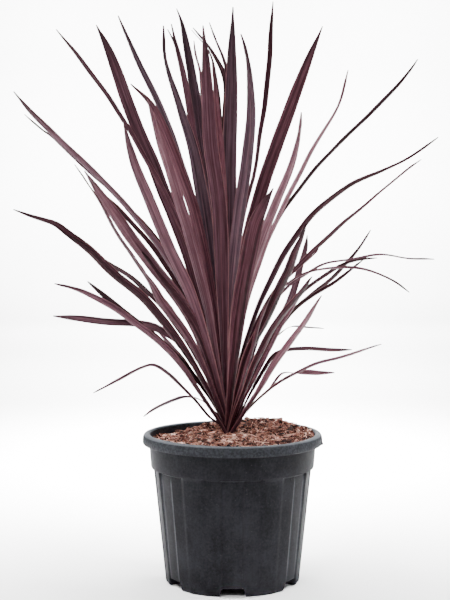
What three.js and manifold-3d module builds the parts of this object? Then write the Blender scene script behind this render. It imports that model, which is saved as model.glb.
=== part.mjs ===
// A black night cordyline in its nursery pot, in millimetres, +Z up.
// The origin is the middle of the pot's underside, where it meets the table.
// +X is to the right and +Y is away, as the plant is seen from the front.
import * as THREE from "three";
import { mergeVertices } from "three/addons/utils/BufferGeometryUtils.js";
import Module from "manifold-3d";

const wasm = await Module();
wasm.setup();

// Pot, an injection-moulded container of about seven litres
const potHeight = 200;
const rimRadius = 120;
const rimSkirt = 14;
const rimThickness = 2;
const collarTopRadius = 111;
const collarFootRadius = 108.3;
const collarFootHeight = 155.5;
const bodyTopRadius = 105;
const bodyTopHeight = 150.5;
const baseRadius = 89.5;
const baseChamfer = 3.5;
const potWall = 1.8;
const potFloor = 2.5;

// Flutes down the pot's side: six raised pilasters, and between them a shallow panel with a deep
// recess in its middle, over a drain notch. Angles are counted from the middle of the recess.
const recessAngle = 7.6;
const panelAngle = 9.6;
const panelEnd = 20.6;
const pilasterAngle = 22.2;
const panelDepth = 1.6;
const recessDepth = 4.4;
const fluteFootShare = 0.55;
const undercut = 3;

// Six drain channels under the floor, each open at a notch in the foot
const channelCount = 6;
const channelHeight = 10;
const channelTopWidth = 26.6;
const channelFootWidth = 34.6;
const channelInnerRadius = 40;
const channelOuterRadius = 96;
const channelWall = 1.6;
const drainRadius = 5;
const drainAtRadius = 66;

// Soil, filled to a little below the rim and heaped behind the plant
const soilEdgeLevel = 190;
const soilGap = 0.3;
const soilRings = [0.12, 0.24, 0.36, 0.48, 0.6, 0.72, 0.84, 0.94, 1];

// Stem, short and set in the soil
const stemX = -5;
const stemFoot = 150;
const stemFootRadius = 6;
const stemCollarRadius = 5;
const stemNeckRadius = 3;
const stemHoleRadius = 11;
const stemTip = 250;
const stemSides = 10;

// Leaves, places as seen from the front at this distance and eye level
const eyeDistance = 1930;
const eyeHeight = 503;
const leafFootLevel = 189;
const leafFootRise = 0.24;
const leafFootInset = 2;
const sheathWidth = 5.6;
const sheathLength = 0.2;
const bladeMiddleThickness = 1.3;
const bladeEdgeThickness = 0.75;
const fewestSteps = 4;
const mostSteps = 10;
const bendPerStep = 18;
const foldAtFoot = 0.62;
const foldAtTip = 0.22;
const footShare = 0.12;
const footShown = 0.85;
const tipShare = 0.945;
const nearSide = 20;
const backwardCount = 12;

const { PI, sin, cos, sqrt, exp, max, min, abs, hypot } = Math;
const radians = (degrees) => (degrees * PI) / 180;
const mix = (a, b, t) => a + (b - a) * t;
const clamp01 = (t) => min(1, max(0, t));
const smooth = (low, high, value) => {
  const t = clamp01((value - low) / (high - low));
  return t * t * (3 - 2 * t);
};

// A closed solid from vertices and faces given as lists
function solidFrom(vertices, triangles) {
  const geometry = new THREE.BufferGeometry();
  geometry.setAttribute("position", new THREE.Float32BufferAttribute(vertices.flat(), 3));
  geometry.setIndex(triangles.flat());
  return solidOf(geometry);
}

// A closed solid from a three.js geometry
function solidOf(geometry) {
  const bare = geometry.clone();
  bare.deleteAttribute("normal");
  bare.deleteAttribute("uv");
  const merged = mergeVertices(bare, 1e-4);
  return new wasm.Manifold(
    new wasm.Mesh({
      numProp: 3,
      vertProperties: new Float32Array(merged.attributes.position.array),
      triVerts: new Uint32Array(merged.index.array),
    }),
  );
}

// A named mesh with its own material, from a solid
function meshOf(name, solid, colour, roughness) {
  const { numProp, numVert, vertProperties, triVerts } = solid.getMesh();
  const places = new Float32Array(numVert * 3);
  for (let i = 0; i < numVert; i++) {
    places.set(vertProperties.subarray(i * numProp, i * numProp + 3), i * 3);
  }
  const geometry = new THREE.BufferGeometry();
  geometry.setAttribute("position", new THREE.BufferAttribute(places, 3));
  geometry.setIndex(new THREE.BufferAttribute(triVerts, 1));
  geometry.computeVertexNormals();
  const material = new THREE.MeshStandardMaterial({ color: colour, roughness, metalness: 0 });
  const mesh = new THREE.Mesh(geometry, material);
  mesh.name = name;
  return mesh;
}

// Angles round the pot, closer together at the edges of the flutes
function potStations() {
  const edges = [recessAngle, panelAngle, panelEnd, pilasterAngle];
  const mirrored = edges.map((a) => 60 - a).reverse();
  const sixth = [0, ...edges, 30, ...mirrored];
  const all = [0, 60, 120, 180, 240, 300].flatMap((from) => sixth.map((a) => from + a));
  return all.map((a) => radians(a - 90));
}

// How deep the side is pressed in at an angle, at full flute depth
function fluteDepth(angle) {
  const turned = ((angle + PI / 2) * 180) / PI;
  const away = abs(((turned + 30) % 60) - 30);
  const panel = clamp01((pilasterAngle - away) / (pilasterAngle - panelEnd));
  const recess = clamp01((panelAngle - away) / (panelAngle - recessAngle));
  return mix(panelDepth * panel, recessDepth, recess);
}

// A solid of rings, each ring a function of the angle that gives [radius, height], closed at both
// ends on the axis. Every quad is split along the same diagonal, seen upright, so that walls match.
function revolved(rings, angles) {
  const vertices = [];
  const triangles = [];
  const count = angles.length;
  rings.forEach((ring) => {
    angles.forEach((angle) => {
      const [radius, height] = ring(angle);
      vertices.push([radius * cos(angle), radius * sin(angle), height]);
    });
  });
  for (let row = 0; row + 1 < rings.length; row++) {
    const rises = rings[row + 1](0)[1] >= rings[row](0)[1];
    for (let i = 0; i < count; i++) {
      const a = row * count + i;
      const b = row * count + ((i + 1) % count);
      if (rises) triangles.push([a, b, b + count], [a, b + count, a + count]);
      else triangles.push([a, b, a + count], [b, b + count, a + count]);
    }
  }
  const ends = [
    [0, (i, j, pole) => [pole, j, i]],
    [(rings.length - 1) * count, (i, j, pole) => [pole, i, j]],
  ];
  ends.forEach(([first, face]) => {
    const pole = vertices.length;
    vertices.push([0, 0, vertices[first][2]]);
    for (let i = 0; i < count; i++) {
      triangles.push(face(first + i, first + ((i + 1) % count), pole));
    }
  });
  return solidFrom(vertices, triangles);
}

// The pot's side, as rows of [radius, height, share of the flute depth]. The collar is cut under
// sharply over the panels and slopes down to the pilasters.
const sideRows = [
  [baseRadius - baseChamfer, 0, fluteFootShare],
  [baseRadius, baseChamfer, fluteFootShare],
  [bodyTopRadius, bodyTopHeight, 1],
  [collarFootRadius, collarFootHeight, 0],
  [collarTopRadius, potHeight - rimSkirt, 0],
];
const rimRows = [
  [collarTopRadius + 0.6, potHeight - 5],
  [rimRadius - 3, potHeight - 5],
  [rimRadius - rimThickness - 0.4, potHeight - rimSkirt + 1],
  [rimRadius - 0.8, potHeight - rimSkirt],
  [rimRadius, potHeight - rimSkirt + 3],
  [rimRadius - 0.6, potHeight - 4],
  [rimRadius - 3, potHeight - 0.8],
  [rimRadius - 6, potHeight],
  [rimRadius - 9.5, potHeight - 1.2],
  [collarTopRadius - potWall, potHeight - 6],
];

const ringAt = (radius, height, share) => (angle) => {
  const lift = height === bodyTopHeight ? undercut * clamp01(fluteDepth(angle) / panelDepth) : 0;
  return [radius - share * fluteDepth(angle), height + lift];
};

// A radial prism with sloping sides, pointing along an angle, from one radius to another
function channelSolid(angle, from, to, topWidth, footWidth, foot, top) {
  const outline = new THREE.Shape([
    new THREE.Vector2(-footWidth / 2, foot),
    new THREE.Vector2(footWidth / 2, foot),
    new THREE.Vector2(topWidth / 2, top),
    new THREE.Vector2(-topWidth / 2, top),
  ]);
  const prism = new THREE.ExtrudeGeometry(outline, { depth: to - from, bevelEnabled: false });
  prism.rotateX(PI / 2);
  prism.translate(0, -from, 0);
  prism.rotateZ(angle + PI / 2);
  return solidOf(prism);
}

function channelAngles() {
  return Array.from({ length: channelCount }, (_, i) => radians(i * 60 - 90));
}

// The covers over the drain channels, grown by a margin all round
function channelCovers(margin, reach) {
  const grow = channelWall + margin;
  return channelAngles().map((angle) =>
    channelSolid(
      angle,
      channelInnerRadius - grow,
      reach,
      channelTopWidth + 2 * grow,
      channelFootWidth + 2 * grow,
      0.5,
      channelHeight + grow,
    ),
  );
}

function buildPot() {
  const angles = potStations();
  const inside = sideRows.slice(1).reverse();
  const rings = [
    ...sideRows.map(([radius, height, share]) => ringAt(radius, height, share)),
    ...rimRows.map(([radius, height]) => ringAt(radius, height, 0)),
    ...inside.map(([radius, height, share]) =>
      ringAt(radius - potWall, max(height, potFloor), share),
    ),
  ];
  let pot = revolved(rings, angles);
  channelCovers(0, baseRadius - recessDepth * fluteFootShare - 0.6).forEach((cover) => {
    pot = pot.add(cover);
  });
  channelAngles().forEach((angle) => {
    const channel = channelSolid(
      angle,
      channelInnerRadius,
      channelOuterRadius,
      channelTopWidth,
      channelFootWidth + 1,
      -1,
      channelHeight,
    );
    const drain = new THREE.CylinderGeometry(drainRadius, drainRadius, 4 * channelWall, 16);
    drain.rotateX(PI / 2);
    drain.translate(drainAtRadius * cos(angle), drainAtRadius * sin(angle), channelHeight + 1);
    pot = pot.subtract(channel).subtract(solidOf(drain));
  });
  return pot;
}

// Height of the soil: a mound round the stem, a heap at the back and right, and lumps
function soilHeight(x, y) {
  const mound = 7 * exp(-(((x - stemX) / 42) ** 2 + (y / 38) ** 2));
  const heap = 14.5 * exp(-(((x - 42) / 74) ** 2 + ((y - 76) / 38) ** 2));
  const leftHeap = 8 * exp(-(((x + 30) / 20) ** 2 + ((y - 48) / 26) ** 2));
  const frontRise = 3 * smooth(10, 90, -y);
  const lumps =
    1.5 * sin(x / 6.1 + 1.3) * sin(y / 7.3) +
    1.1 * sin(x / 3.9 + y / 8.7) * cos(y / 4.6 + 0.7) +
    0.7 * sin(x / 2.7 - y / 3.3);
  const beside = smooth(11, 24, hypot(x - stemX, y));
  return soilEdgeLevel + mound + heap + leftHeap + frontRise + lumps * beside;
}

function buildSoil() {
  const angles = potStations();
  const side = (radius, height, share) => (angle) => {
    const [wall, level] = ringAt(radius - potWall, height, share)(angle);
    return [wall - soilGap, level];
  };
  const edgeHeight = soilEdgeLevel - 10;
  const collarShare = (edgeHeight - collarFootHeight) / (potHeight - rimSkirt - collarFootHeight);
  const edge = mix(collarFootRadius, collarTopRadius, collarShare) - potWall - soilGap;
  const top = (share) => (angle) => {
    const radius = share * edge;
    return [radius, soilHeight(radius * cos(angle), radius * sin(angle))];
  };
  const rings = [
    side(baseRadius, baseChamfer + soilGap, fluteFootShare),
    ...sideRows.slice(2, 4).map((row) => side(...row)),
    () => [edge, edgeHeight],
    ...soilRings.slice().reverse().map(top),
  ];
  let soil = revolved(rings, angles);
  const hole = new THREE.CylinderGeometry(
    stemHoleRadius,
    stemHoleRadius - 4.5,
    100,
    20,
  );
  hole.rotateX(PI / 2);
  hole.translate(stemX, 0, stemFoot + 50 - soilGap);
  soil = soil.subtract(solidOf(hole));
  channelCovers(2 * soilGap, channelOuterRadius + 8).forEach((cover) => {
    soil = soil.subtract(cover);
  });
  return soil;
}

function buildStem() {
  const profile = [
    [0, stemFoot],
    [stemFootRadius, stemFoot],
    [stemCollarRadius, 186],
    [stemNeckRadius, 200],
    [stemNeckRadius, 228],
    [1.5, stemTip],
    [0, stemTip],
  ];
  const points = profile.map(([radius, height]) => new THREE.Vector2(radius, height));
  const stem = new THREE.LatheGeometry(points, stemSides);
  stem.rotateX(PI / 2);
  stem.translate(stemX, 0, 0);
  return solidOf(stem);
}

// A place seen at [x, z] in the plane of the stem, put at its true place at a depth
function placed(x, z, depth) {
  const scale = (eyeDistance + depth) / eyeDistance;
  return new THREE.Vector3(x * scale, depth, eyeHeight + (z - eyeHeight) * scale);
}

// A leaf's midline: out of the stem and through the places where it is seen, drawing away in depth
function midline({ depth, seen }) {
  const [tipX] = seen[seen.length - 1];
  const out = new THREE.Vector2(tipX - stemX, depth).normalize();
  const footZ = leafFootLevel + leafFootRise * (seen[0][1] - leafFootLevel);
  const foot = new THREE.Vector3(
    stemX + leafFootInset * out.x,
    leafFootInset * out.y,
    footZ,
  );
  let length = 0;
  let before = [stemX, footZ];
  const lengths = seen.map((place) => {
    length += hypot(place[0] - before[0], place[1] - before[1]);
    before = place;
    return length;
  });
  const points = seen.map(([x, z], i) => placed(x, z, depth * (lengths[i] / length) ** 1.15));
  return { out, curve: new THREE.CatmullRomCurve3([foot, ...points], false, "centripetal") };
}

// Share of the full width along the blade: narrow at the foot, full past the middle, then a long point
function bladeWidth(s, taper) {
  const rise = mix(0.58, 1, smooth(0.12, 0.52, s));
  const fall = 1 - (max(0, s - 0.58) / 0.42) ** taper;
  return rise * fall;
}

// The blade's own directions at a share of its length: along it, level across it, and its face
function natural(curve, out, s) {
  const along = curve.getTangentAt(s);
  const level = new THREE.Vector3(-out.y, out.x, 0);
  const across = level.addScaledVector(along, -level.dot(along)).normalize();
  return { along, across, face: along.clone().cross(across) };
}

// The turn about its midline that makes a blade show a share of its width. Turned by t it shows the
// share a cos t - b sin t, where a and b are the parts of its natural across and face directions
// that lie sideways in the view. Of all such turns it is the one nearest to another.
function facingTurn({ along, across, face }, shownShare, near) {
  const sideways = new THREE.Vector3(0, 1, 0).cross(along).normalize();
  const a = across.dot(sideways);
  const b = face.dot(sideways);
  const lean = Math.atan2(b, a);
  const spread = Math.acos(min(1, shownShare / hypot(a, b)));
  const turns = [-PI, 0, PI].flatMap((half) => [half - lean - spread, half - lean + spread]);
  return turns.reduce((best, turn) => (abs(turn - near) < abs(best - near) ? turn : best));
}

// How far a blade is turned along its length: leaves on the near side start flat to the front, the
// others as they grow, and each turns to show the width that is seen of it up to its tip
function bladeTurn(leaf, curve, out) {
  const low = natural(curve, out, footShare);
  const high = natural(curve, out, max(0.55, leaf.turning[1]));
  const footTurn = leaf.depth < nearSide ? facingTurn(low, footShown, 0) : 0;
  const shownShare = leaf.shown / leaf.width;
  const shownTurn = facingTurn(high, shownShare, 0.6 * footTurn);
  const tipTurn = facingTurn(natural(curve, out, tipShare), shownShare, shownTurn);
  return (s) => {
    const turnedOut = mix(footTurn, shownTurn, smooth(...leaf.turning, s));
    return mix(turnedOut, tipTurn, smooth(max(0.55, leaf.turning[1]), tipShare, s));
  };
}

// Steps along a blade, more where it bends more in all
function stepsFor(curve) {
  const lies = Array.from({ length: 13 }, (_, i) => curve.getTangentAt(i / 12));
  let bend = 0;
  lies.slice(1).forEach((lie, i) => {
    bend += (lie.angleTo(lies[i]) * 180) / PI;
  });
  return min(mostSteps, fewestSteps + Math.floor(bend / bendPerStep));
}

// One blade: a shallow trough, folded most at its foot, that turns from its natural lie to its own
function buildLeaf(leaf) {
  const { out, curve } = midline(leaf);
  const bladeSteps = stepsFor(curve);
  const turnAt = bladeTurn(leaf, curve, out);
  const vertices = [];
  const triangles = [];
  for (let step = 0; step < bladeSteps; step++) {
    const s = (step / bladeSteps) ** 0.8;
    const middle = curve.getPointAt(s);
    const { across, face } = natural(curve, out, s);
    const turn = turnAt(s);
    const flat = across.clone().multiplyScalar(cos(turn)).addScaledVector(face, -sin(turn));
    const up = face.clone().multiplyScalar(cos(turn)).addScaledVector(across, sin(turn));
    const sheath = sheathWidth * (1 - s / sheathLength);
    const point = (3.4 - 1.8 * smooth(0.98, 1, s)) * sqrt(leaf.width / leaf.shown);
    const half = 0.5 * max(point, leaf.width * bladeWidth(s, leaf.taper), sheath);
    const fold = mix(foldAtFoot, foldAtTip, smooth(0, 0.55, s));
    const thickness = mix(bladeMiddleThickness, bladeEdgeThickness, s);
    const place = (sideways, lift) =>
      middle.clone().addScaledVector(flat, sideways).addScaledVector(up, lift).toArray();
    const rise = half * sin(fold);
    const reach = half * cos(fold);
    vertices.push(
      place(-reach, rise + bladeEdgeThickness / 2),
      place(-reach, rise - bladeEdgeThickness / 2),
      place(0, -thickness / 2),
      place(reach, rise - bladeEdgeThickness / 2),
      place(reach, rise + bladeEdgeThickness / 2),
      place(0, thickness / 2),
    );
  }
  const tip = vertices.length;
  vertices.push(curve.getPointAt(1).toArray());
  for (let step = 0; step + 1 < bladeSteps; step++) {
    for (let i = 0; i < 6; i++) {
      const a = step * 6 + i;
      const b = step * 6 + ((i + 1) % 6);
      if (i === 0 || i === 1 || i === 4) triangles.push([a, b, b + 6], [a, b + 6, a + 6]);
      else triangles.push([a, b, a + 6], [b, b + 6, a + 6]);
    }
  }
  for (let i = 0; i < 6; i++) {
    triangles.push([tip - 6 + i, tip - 6 + ((i + 1) % 6), tip]);
  }
  triangles.push([0, 2, 1], [0, 5, 2], [5, 3, 2], [5, 4, 3]);
  return solidFrom(vertices, triangles);
}

// A leaf as it is seen from the front: depth of its tip, full width, width that it shows, how late
// it tapers, and the places that its midline passes, from low down to its tip. The shares of its
// length between which it turns to show that width are the same for nearly every leaf.
const seenLeaf = (depth, width, shown, taper, ...seen) => ({
  depth,
  width,
  shown,
  taper,
  seen,
  turning: [0.06, 0.34],
});

const lowLeftLeaves = [
  seenLeaf(90, 9, 4.5, 3.5, [-20, 222], [-42, 243], [-62, 247], [-78, 243], [-100, 233], [-118, 221]),
  seenLeaf(
    -50, 9, 5.5, 4,
    [-14, 208], [-30, 219], [-50, 242], [-70, 263], [-90, 281], [-106, 290], [-120, 287], [-150, 271],
    [-186, 253],
  ),
  {
    ...seenLeaf(
      80, 13, 10, 3.5,
      [-24, 238], [-38, 260], [-50, 282], [-62, 303], [-75, 320], [-90, 332], [-105, 341], [-125, 345],
      [-160, 347], [-238, 356],
    ),
    turning: [0.4, 0.55],
  },
  seenLeaf(190, 10, 4, 3, [-26, 238], [-41, 260], [-55, 281], [-70, 303], [-85, 320], [-100, 337]),
  seenLeaf(
    -110, 13, 10, 2.8,
    [-15, 208], [-22, 219], [-36, 240], [-50, 261], [-65, 284], [-80, 303], [-100, 322], [-125, 342],
    [-160, 367], [-200, 388], [-237, 399],
  ),
  seenLeaf(
    70, 12, 9, 3,
    [-25, 236], [-48, 270], [-65, 291], [-80, 306], [-100, 325], [-130, 349], [-170, 382], [-192, 402],
  ),
  seenLeaf(
    10, 9, 4.5, 4,
    [-30, 250], [-80, 333], [-120, 383], [-155, 411], [-190, 445], [-215, 463], [-235, 478],
    [-250, 483], [-270, 489], [-290, 497],
  ),
  seenLeaf(
    -130, 15, 12.5, 5.5,
    [-18, 228], [-32, 254], [-46, 279], [-60, 302], [-80, 332], [-100, 357], [-120, 380], [-155, 408],
    [-190, 442], [-226, 467],
  ),
  seenLeaf(
    160, 11, 7, 3,
    [-22, 245], [-40, 284], [-60, 320], [-80, 350], [-95, 369], [-130, 403], [-165, 427], [-185, 441],
  ),
  seenLeaf(
    -210, 17, 14, 1.7,
    [-17, 228], [-28, 258], [-40, 288], [-55, 318], [-75, 348], [-95, 375], [-110, 397], [-125, 418],
    [-140, 442], [-157, 472], [-178, 511], [-210, 556],
  ),
  seenLeaf(
    140, 10, 4, 2.5,
    [-20, 240], [-34, 275], [-45, 298], [-60, 328], [-80, 362], [-100, 388], [-125, 428],
  ),
  seenLeaf(
    -180, 17, 13, 2,
    [-16, 235], [-24, 262], [-35, 295], [-47, 330], [-60, 358], [-80, 390], [-100, 418], [-115, 437],
    [-130, 457], [-160, 498], [-197, 548],
  ),
  seenLeaf(
    20, 12, 6, 2,
    [-18, 240], [-32, 280], [-50, 325], [-70, 362], [-90, 392], [-120, 436], [-150, 478], [-180, 520],
  ),
  seenLeaf(
    100, 12, 4.5, 2.5,
    [-20, 250], [-40, 310], [-60, 362], [-80, 392], [-105, 431], [-130, 467], [-160, 507], [-192, 548],
  ),
  seenLeaf(
    -20, 11, 4.5, 2.5,
    [-19, 250], [-35, 310], [-55, 358], [-75, 398], [-98, 440], [-125, 480], [-150, 510], [-176, 540],
  ),
  seenLeaf(
    -90, 15, 11, 5,
    [-14, 230], [-20, 265], [-40, 325], [-60, 370], [-80, 410], [-100, 443], [-120, 472], [-140, 496],
    [-170, 530], [-200, 560], [-240, 598], [-262, 620], [-289, 652],
  ),
  seenLeaf(
    190, 12, 5, 2.5,
    [-20, 262], [-60, 374], [-100, 446], [-150, 510], [-200, 556], [-235, 590], [-250, 601],
    [-273, 622],
  ),
];

const leftLeaves = [
  seenLeaf(
    110, 14, 6.5, 3.5,
    [-18, 270], [-45, 410], [-60, 455], [-75, 490], [-88, 520], [-100, 543], [-115, 570], [-140, 610],
    [-160, 640], [-205, 700], [-231, 733],
  ),
  seenLeaf(
    200, 19, 17, 3.5,
    [-12, 222], [-18, 250], [-30, 310], [-45, 370], [-65, 440], [-80, 480], [-96, 520], [-108, 560],
    [-126, 600], [-140, 640], [-160, 700], [-178, 739],
  ),
  seenLeaf(
    -230, 18.5, 16.5, 4.5,
    [-16, 245], [-32, 310], [-45, 355], [-57, 390], [-70, 420], [-90, 460], [-105, 500], [-123, 540],
    [-137, 580], [-145, 612],
  ),
  seenLeaf(
    40, 13, 7, 3,
    [-14, 270], [-30, 400], [-40, 455], [-52, 505], [-66, 550], [-90, 618], [-110, 661], [-130, 703],
    [-150, 751],
  ),
  seenLeaf(
    -200, 17, 14.5, 4.5,
    [-13, 240], [-28, 330], [-38, 380], [-48, 420], [-59, 460], [-71, 500], [-83, 540], [-95, 580],
    [-107, 620], [-113, 642],
  ),
  seenLeaf(
    -140, 18, 15.5, 3.5,
    [-12, 245], [-22, 330], [-36, 420], [-54, 500], [-68, 540], [-83, 580], [-100, 620], [-112, 640],
    [-135, 662],
  ),
  seenLeaf(
    -60, 20, 18.5, 1.5,
    [-12, 250], [-20, 330], [-26, 400], [-39, 500], [-54, 580], [-68, 625], [-76, 650], [-84, 675],
    [-90, 700], [-91, 738],
  ),
  seenLeaf(
    130, 14, 10, 4,
    [-12, 270], [-28, 440], [-38, 520], [-44, 560], [-53, 600], [-62, 660], [-71, 700], [-80, 740],
  ),
  seenLeaf(160, 12, 4, 3, [-12, 280], [-38, 520], [-58, 640], [-75, 712], [-85, 733]),
  seenLeaf(
    150, 17, 14, 3.5,
    [-12, 280], [-22, 430], [-30, 500], [-40, 580], [-48, 640], [-55, 680], [-66, 740], [-73, 760],
  ),
  seenLeaf(190, 12, 6, 4, [-11, 290], [-28, 540], [-39, 640], [-43, 680], [-48, 700], [-50, 718]),
];

const middleLeaves = [
  seenLeaf(-200, 21, 20, 2.4, [-9, 235], [-14, 380], [-19, 500], [-30, 580], [-37, 700], [-40, 738]),
  seenLeaf(-30, 16, 10, 4, [-8, 280], [-12, 480], [-16, 560], [-21, 620], [-24, 660], [-27, 690]),
  seenLeaf(
    210, 14, 10, 3,
    [-7, 320], [-13, 580], [-11, 660], [-15, 680], [-22, 696], [-30, 709], [-40, 722], [-51, 735],
  ),
  seenLeaf(240, 11, 4, 3, [-8, 330], [-14, 590], [-24, 684], [-33, 708], [-53, 732]),
  seenLeaf(170, 10, 4, 3, [-5, 330], [-3, 520], [-7, 675], [-14, 700], [-20, 715], [-30, 742]),
  seenLeaf(80, 22, 21, 3, [-6, 270], [-4, 400], [-4, 500], [-3, 580], [-1, 640], [0, 720], [1, 762]),
  seenLeaf(
    -190, 18, 16.5, 3,
    [-5, 250], [-2, 380], [3, 440], [10, 500], [16, 540], [23, 600], [24, 640], [21, 680], [15, 712],
    [10, 727],
  ),
  seenLeaf(
    30, 12, 5.5, 6,
    [-3, 320], [0, 400], [7, 440], [18, 500], [29, 540], [38, 600], [44, 640], [49, 690], [53, 769],
  ),
];

const rightLeaves = [
  seenLeaf(
    210, 23, 20.5, 4,
    [-3, 240], [-1, 290], [4, 340], [10, 390], [20, 450], [33, 500], [45, 540], [59, 580], [81, 640],
    [96, 680], [112, 720], [119, 737],
  ),
  seenLeaf(
    -280, 22, 21, 3.5,
    [-2, 250], [6, 340], [11, 380], [18, 420], [22, 440], [30, 480], [41, 505], [52, 525],
  ),
  seenLeaf(
    -230, 15, 12, 3.5,
    [-1, 270], [12, 370], [20, 400], [33, 440], [55, 500], [72, 540], [84, 580], [88, 605], [89, 625],
  ),
  seenLeaf(
    -120, 12, 6, 3,
    [-5, 250], [1, 280], [6, 300], [9, 322], [18, 365], [28, 400], [45, 450], [65, 495], [85, 535],
    [100, 565], [120, 600], [141, 637], [151, 680],
  ),
  seenLeaf(
    130, 11, 5.5, 3.5,
    [4, 280], [22, 380], [42, 440], [60, 481], [85, 518], [120, 561], [160, 601], [200, 640],
    [235, 680], [244, 694],
  ),
  seenLeaf(
    -30, 13, 7, 3,
    [-5, 222], [3, 250], [13, 300], [28, 348], [50, 400], [72, 442], [100, 482], [120, 502],
    [140, 518], [160, 531], [200, 549], [230, 563], [271, 592],
  ),
  seenLeaf(
    200, 11, 5.5, 2.5,
    [4, 270], [20, 315], [48, 375], [70, 403], [100, 434], [140, 472], [180, 506], [220, 540],
    [250, 563],
  ),
  seenLeaf(
    -260, 16, 13, 2.8,
    [2, 228], [8, 262], [18, 298], [30, 325], [39, 340], [57, 380], [66, 400], [75, 420], [82, 440],
    [88, 455], [96, 478],
  ),
  seenLeaf(
    240, 12, 6, 3,
    [6, 250], [28, 290], [55, 335], [76, 372], [86, 400], [91, 420], [97, 440], [100, 463],
  ),
  seenLeaf(-190, 9, 5, 2.5, [4, 235], [12, 262], [17, 280], [26, 310], [35, 345], [52, 390], [66, 430]),
];

const lowRightLeaves = [
  seenLeaf(
    -240, 13, 10, 3.5,
    [4, 225], [14, 250], [22, 272], [32, 297], [42, 318], [55, 342], [68, 360], [80, 374], [92, 390],
    [104, 408],
  ),
  seenLeaf(
    60, 9, 4.5, 2.5,
    [10, 235], [33, 285], [56, 332], [80, 372], [98, 391], [125, 411], [150, 425], [172, 431],
    [192, 433],
  ),
  seenLeaf(
    120, 8, 3.5, 2.5,
    [12, 245], [50, 365], [75, 395], [95, 409], [120, 424], [155, 430], [195, 437], [235, 432],
    [268, 431],
  ),
  seenLeaf(
    -80, 8, 3.5, 2.5,
    [12, 250], [45, 368], [60, 388], [90, 409], [115, 417], [150, 420], [180, 416], [210, 404],
    [234, 387],
  ),
  seenLeaf(
    200, 9, 4, 2.5,
    [12, 250], [56, 330], [85, 366], [108, 385], [130, 403], [148, 421], [162, 437], [178, 460],
    [184, 470],
  ),
  seenLeaf(
    20, 10, 5, 3,
    [9, 222], [18, 250], [34, 290], [52, 330], [75, 358], [105, 381], [135, 400], [155, 415],
    [173, 430],
  ),
  seenLeaf(150, 8, 3, 3, [9, 225], [22, 262], [38, 300], [50, 322], [80, 358], [107, 392]),
  seenLeaf(
    -190, 12, 8, 3,
    [8, 212], [20, 232], [35, 255], [48, 278], [62, 301], [78, 322], [93, 343], [105, 362], [117, 383],
  ),
  seenLeaf(
    90, 8, 3.5, 2.5,
    [12, 232], [25, 268], [38, 303], [47, 318], [60, 329], [77, 341], [100, 340], [122, 339],
  ),
  seenLeaf(
    30, 9, 5, 4,
    [9, 220], [30, 262], [50, 296], [57, 304], [72, 310], [95, 312], [130, 310], [159, 311],
  ),
  seenLeaf(
    -60, 9, 5, 3,
    [8, 212], [20, 229], [40, 249], [62, 266], [88, 281], [110, 291], [140, 299], [180, 312],
    [198, 318],
  ),
  {
    ...seenLeaf(
      40, 11, 9, 5,
      [10, 217], [30, 240], [50, 257], [57, 267], [66, 278], [73, 280], [86, 279], [100, 280],
      [115, 279], [136, 280],
    ),
    turning: [0.66, 0.8],
  },
  seenLeaf(130, 8, 4, 3, [10, 225], [24, 242], [40, 263], [50, 284], [64, 312], [78, 340], [90, 372]),
  seenLeaf(-140, 9, 6, 3, [6, 222], [17, 246], [29, 270], [42, 296], [58, 330], [76, 362], [98, 398]),
];

// The leaves that lean to the back, hidden behind the others as they are seen from the front, and
// longer and more upright inwards
function backwardLeaves(count) {
  return Array.from({ length: count }, (_, k) => {
    const rank = (k + 0.5) / count;
    const tipZ = mix(330, 680, rank);
    const tipX = mix(-14, -26, rank) + mix(10, 20, rank) * sin(2.4 * k);
    const length = mix(340, 530, rank) + 24 * sin(1.7 * k + 1);
    const depth = sqrt(max(90 ** 2, length ** 2 - (tipZ - leafFootLevel) ** 2));
    const arch = mix(0.75, 0.3, rank);
    const seen = [0.16, 0.5, 0.75, 1].map((t) => [
      mix(stemX, tipX, t),
      mix(leafFootLevel, tipZ, t + arch * t * (1 - t)),
    ]);
    const width = 14 + 2 * sin(3.1 * k);
    return seenLeaf(depth, width, width - 1, 4, ...seen);
  });
}

function allLeaves() {
  return [
    ...lowLeftLeaves,
    ...leftLeaves,
    ...middleLeaves,
    ...rightLeaves,
    ...lowRightLeaves,
    ...backwardLeaves(backwardCount),
  ];
}

// The stem and its leaves grown into one solid: of its closed skins the outer one is kept, so small
// gaps shut in between the leaf feet are filled
function buildPlant() {
  const skins = wasm.Manifold.union([buildStem(), ...allLeaves().map(buildLeaf)]).decompose();
  return skins.reduce((outer, skin) => (skin.volume() > outer.volume() ? skin : outer));
}

const part = new THREE.Group();
part.add(meshOf("pot", buildPot(), 0x2b2e31, 0.5));
part.add(meshOf("soil", buildSoil(), 0x6f4630, 0.95));
part.add(meshOf("cordyline", buildPlant(), 0x4b2c34, 0.45));
export default part;
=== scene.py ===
import math

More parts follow.
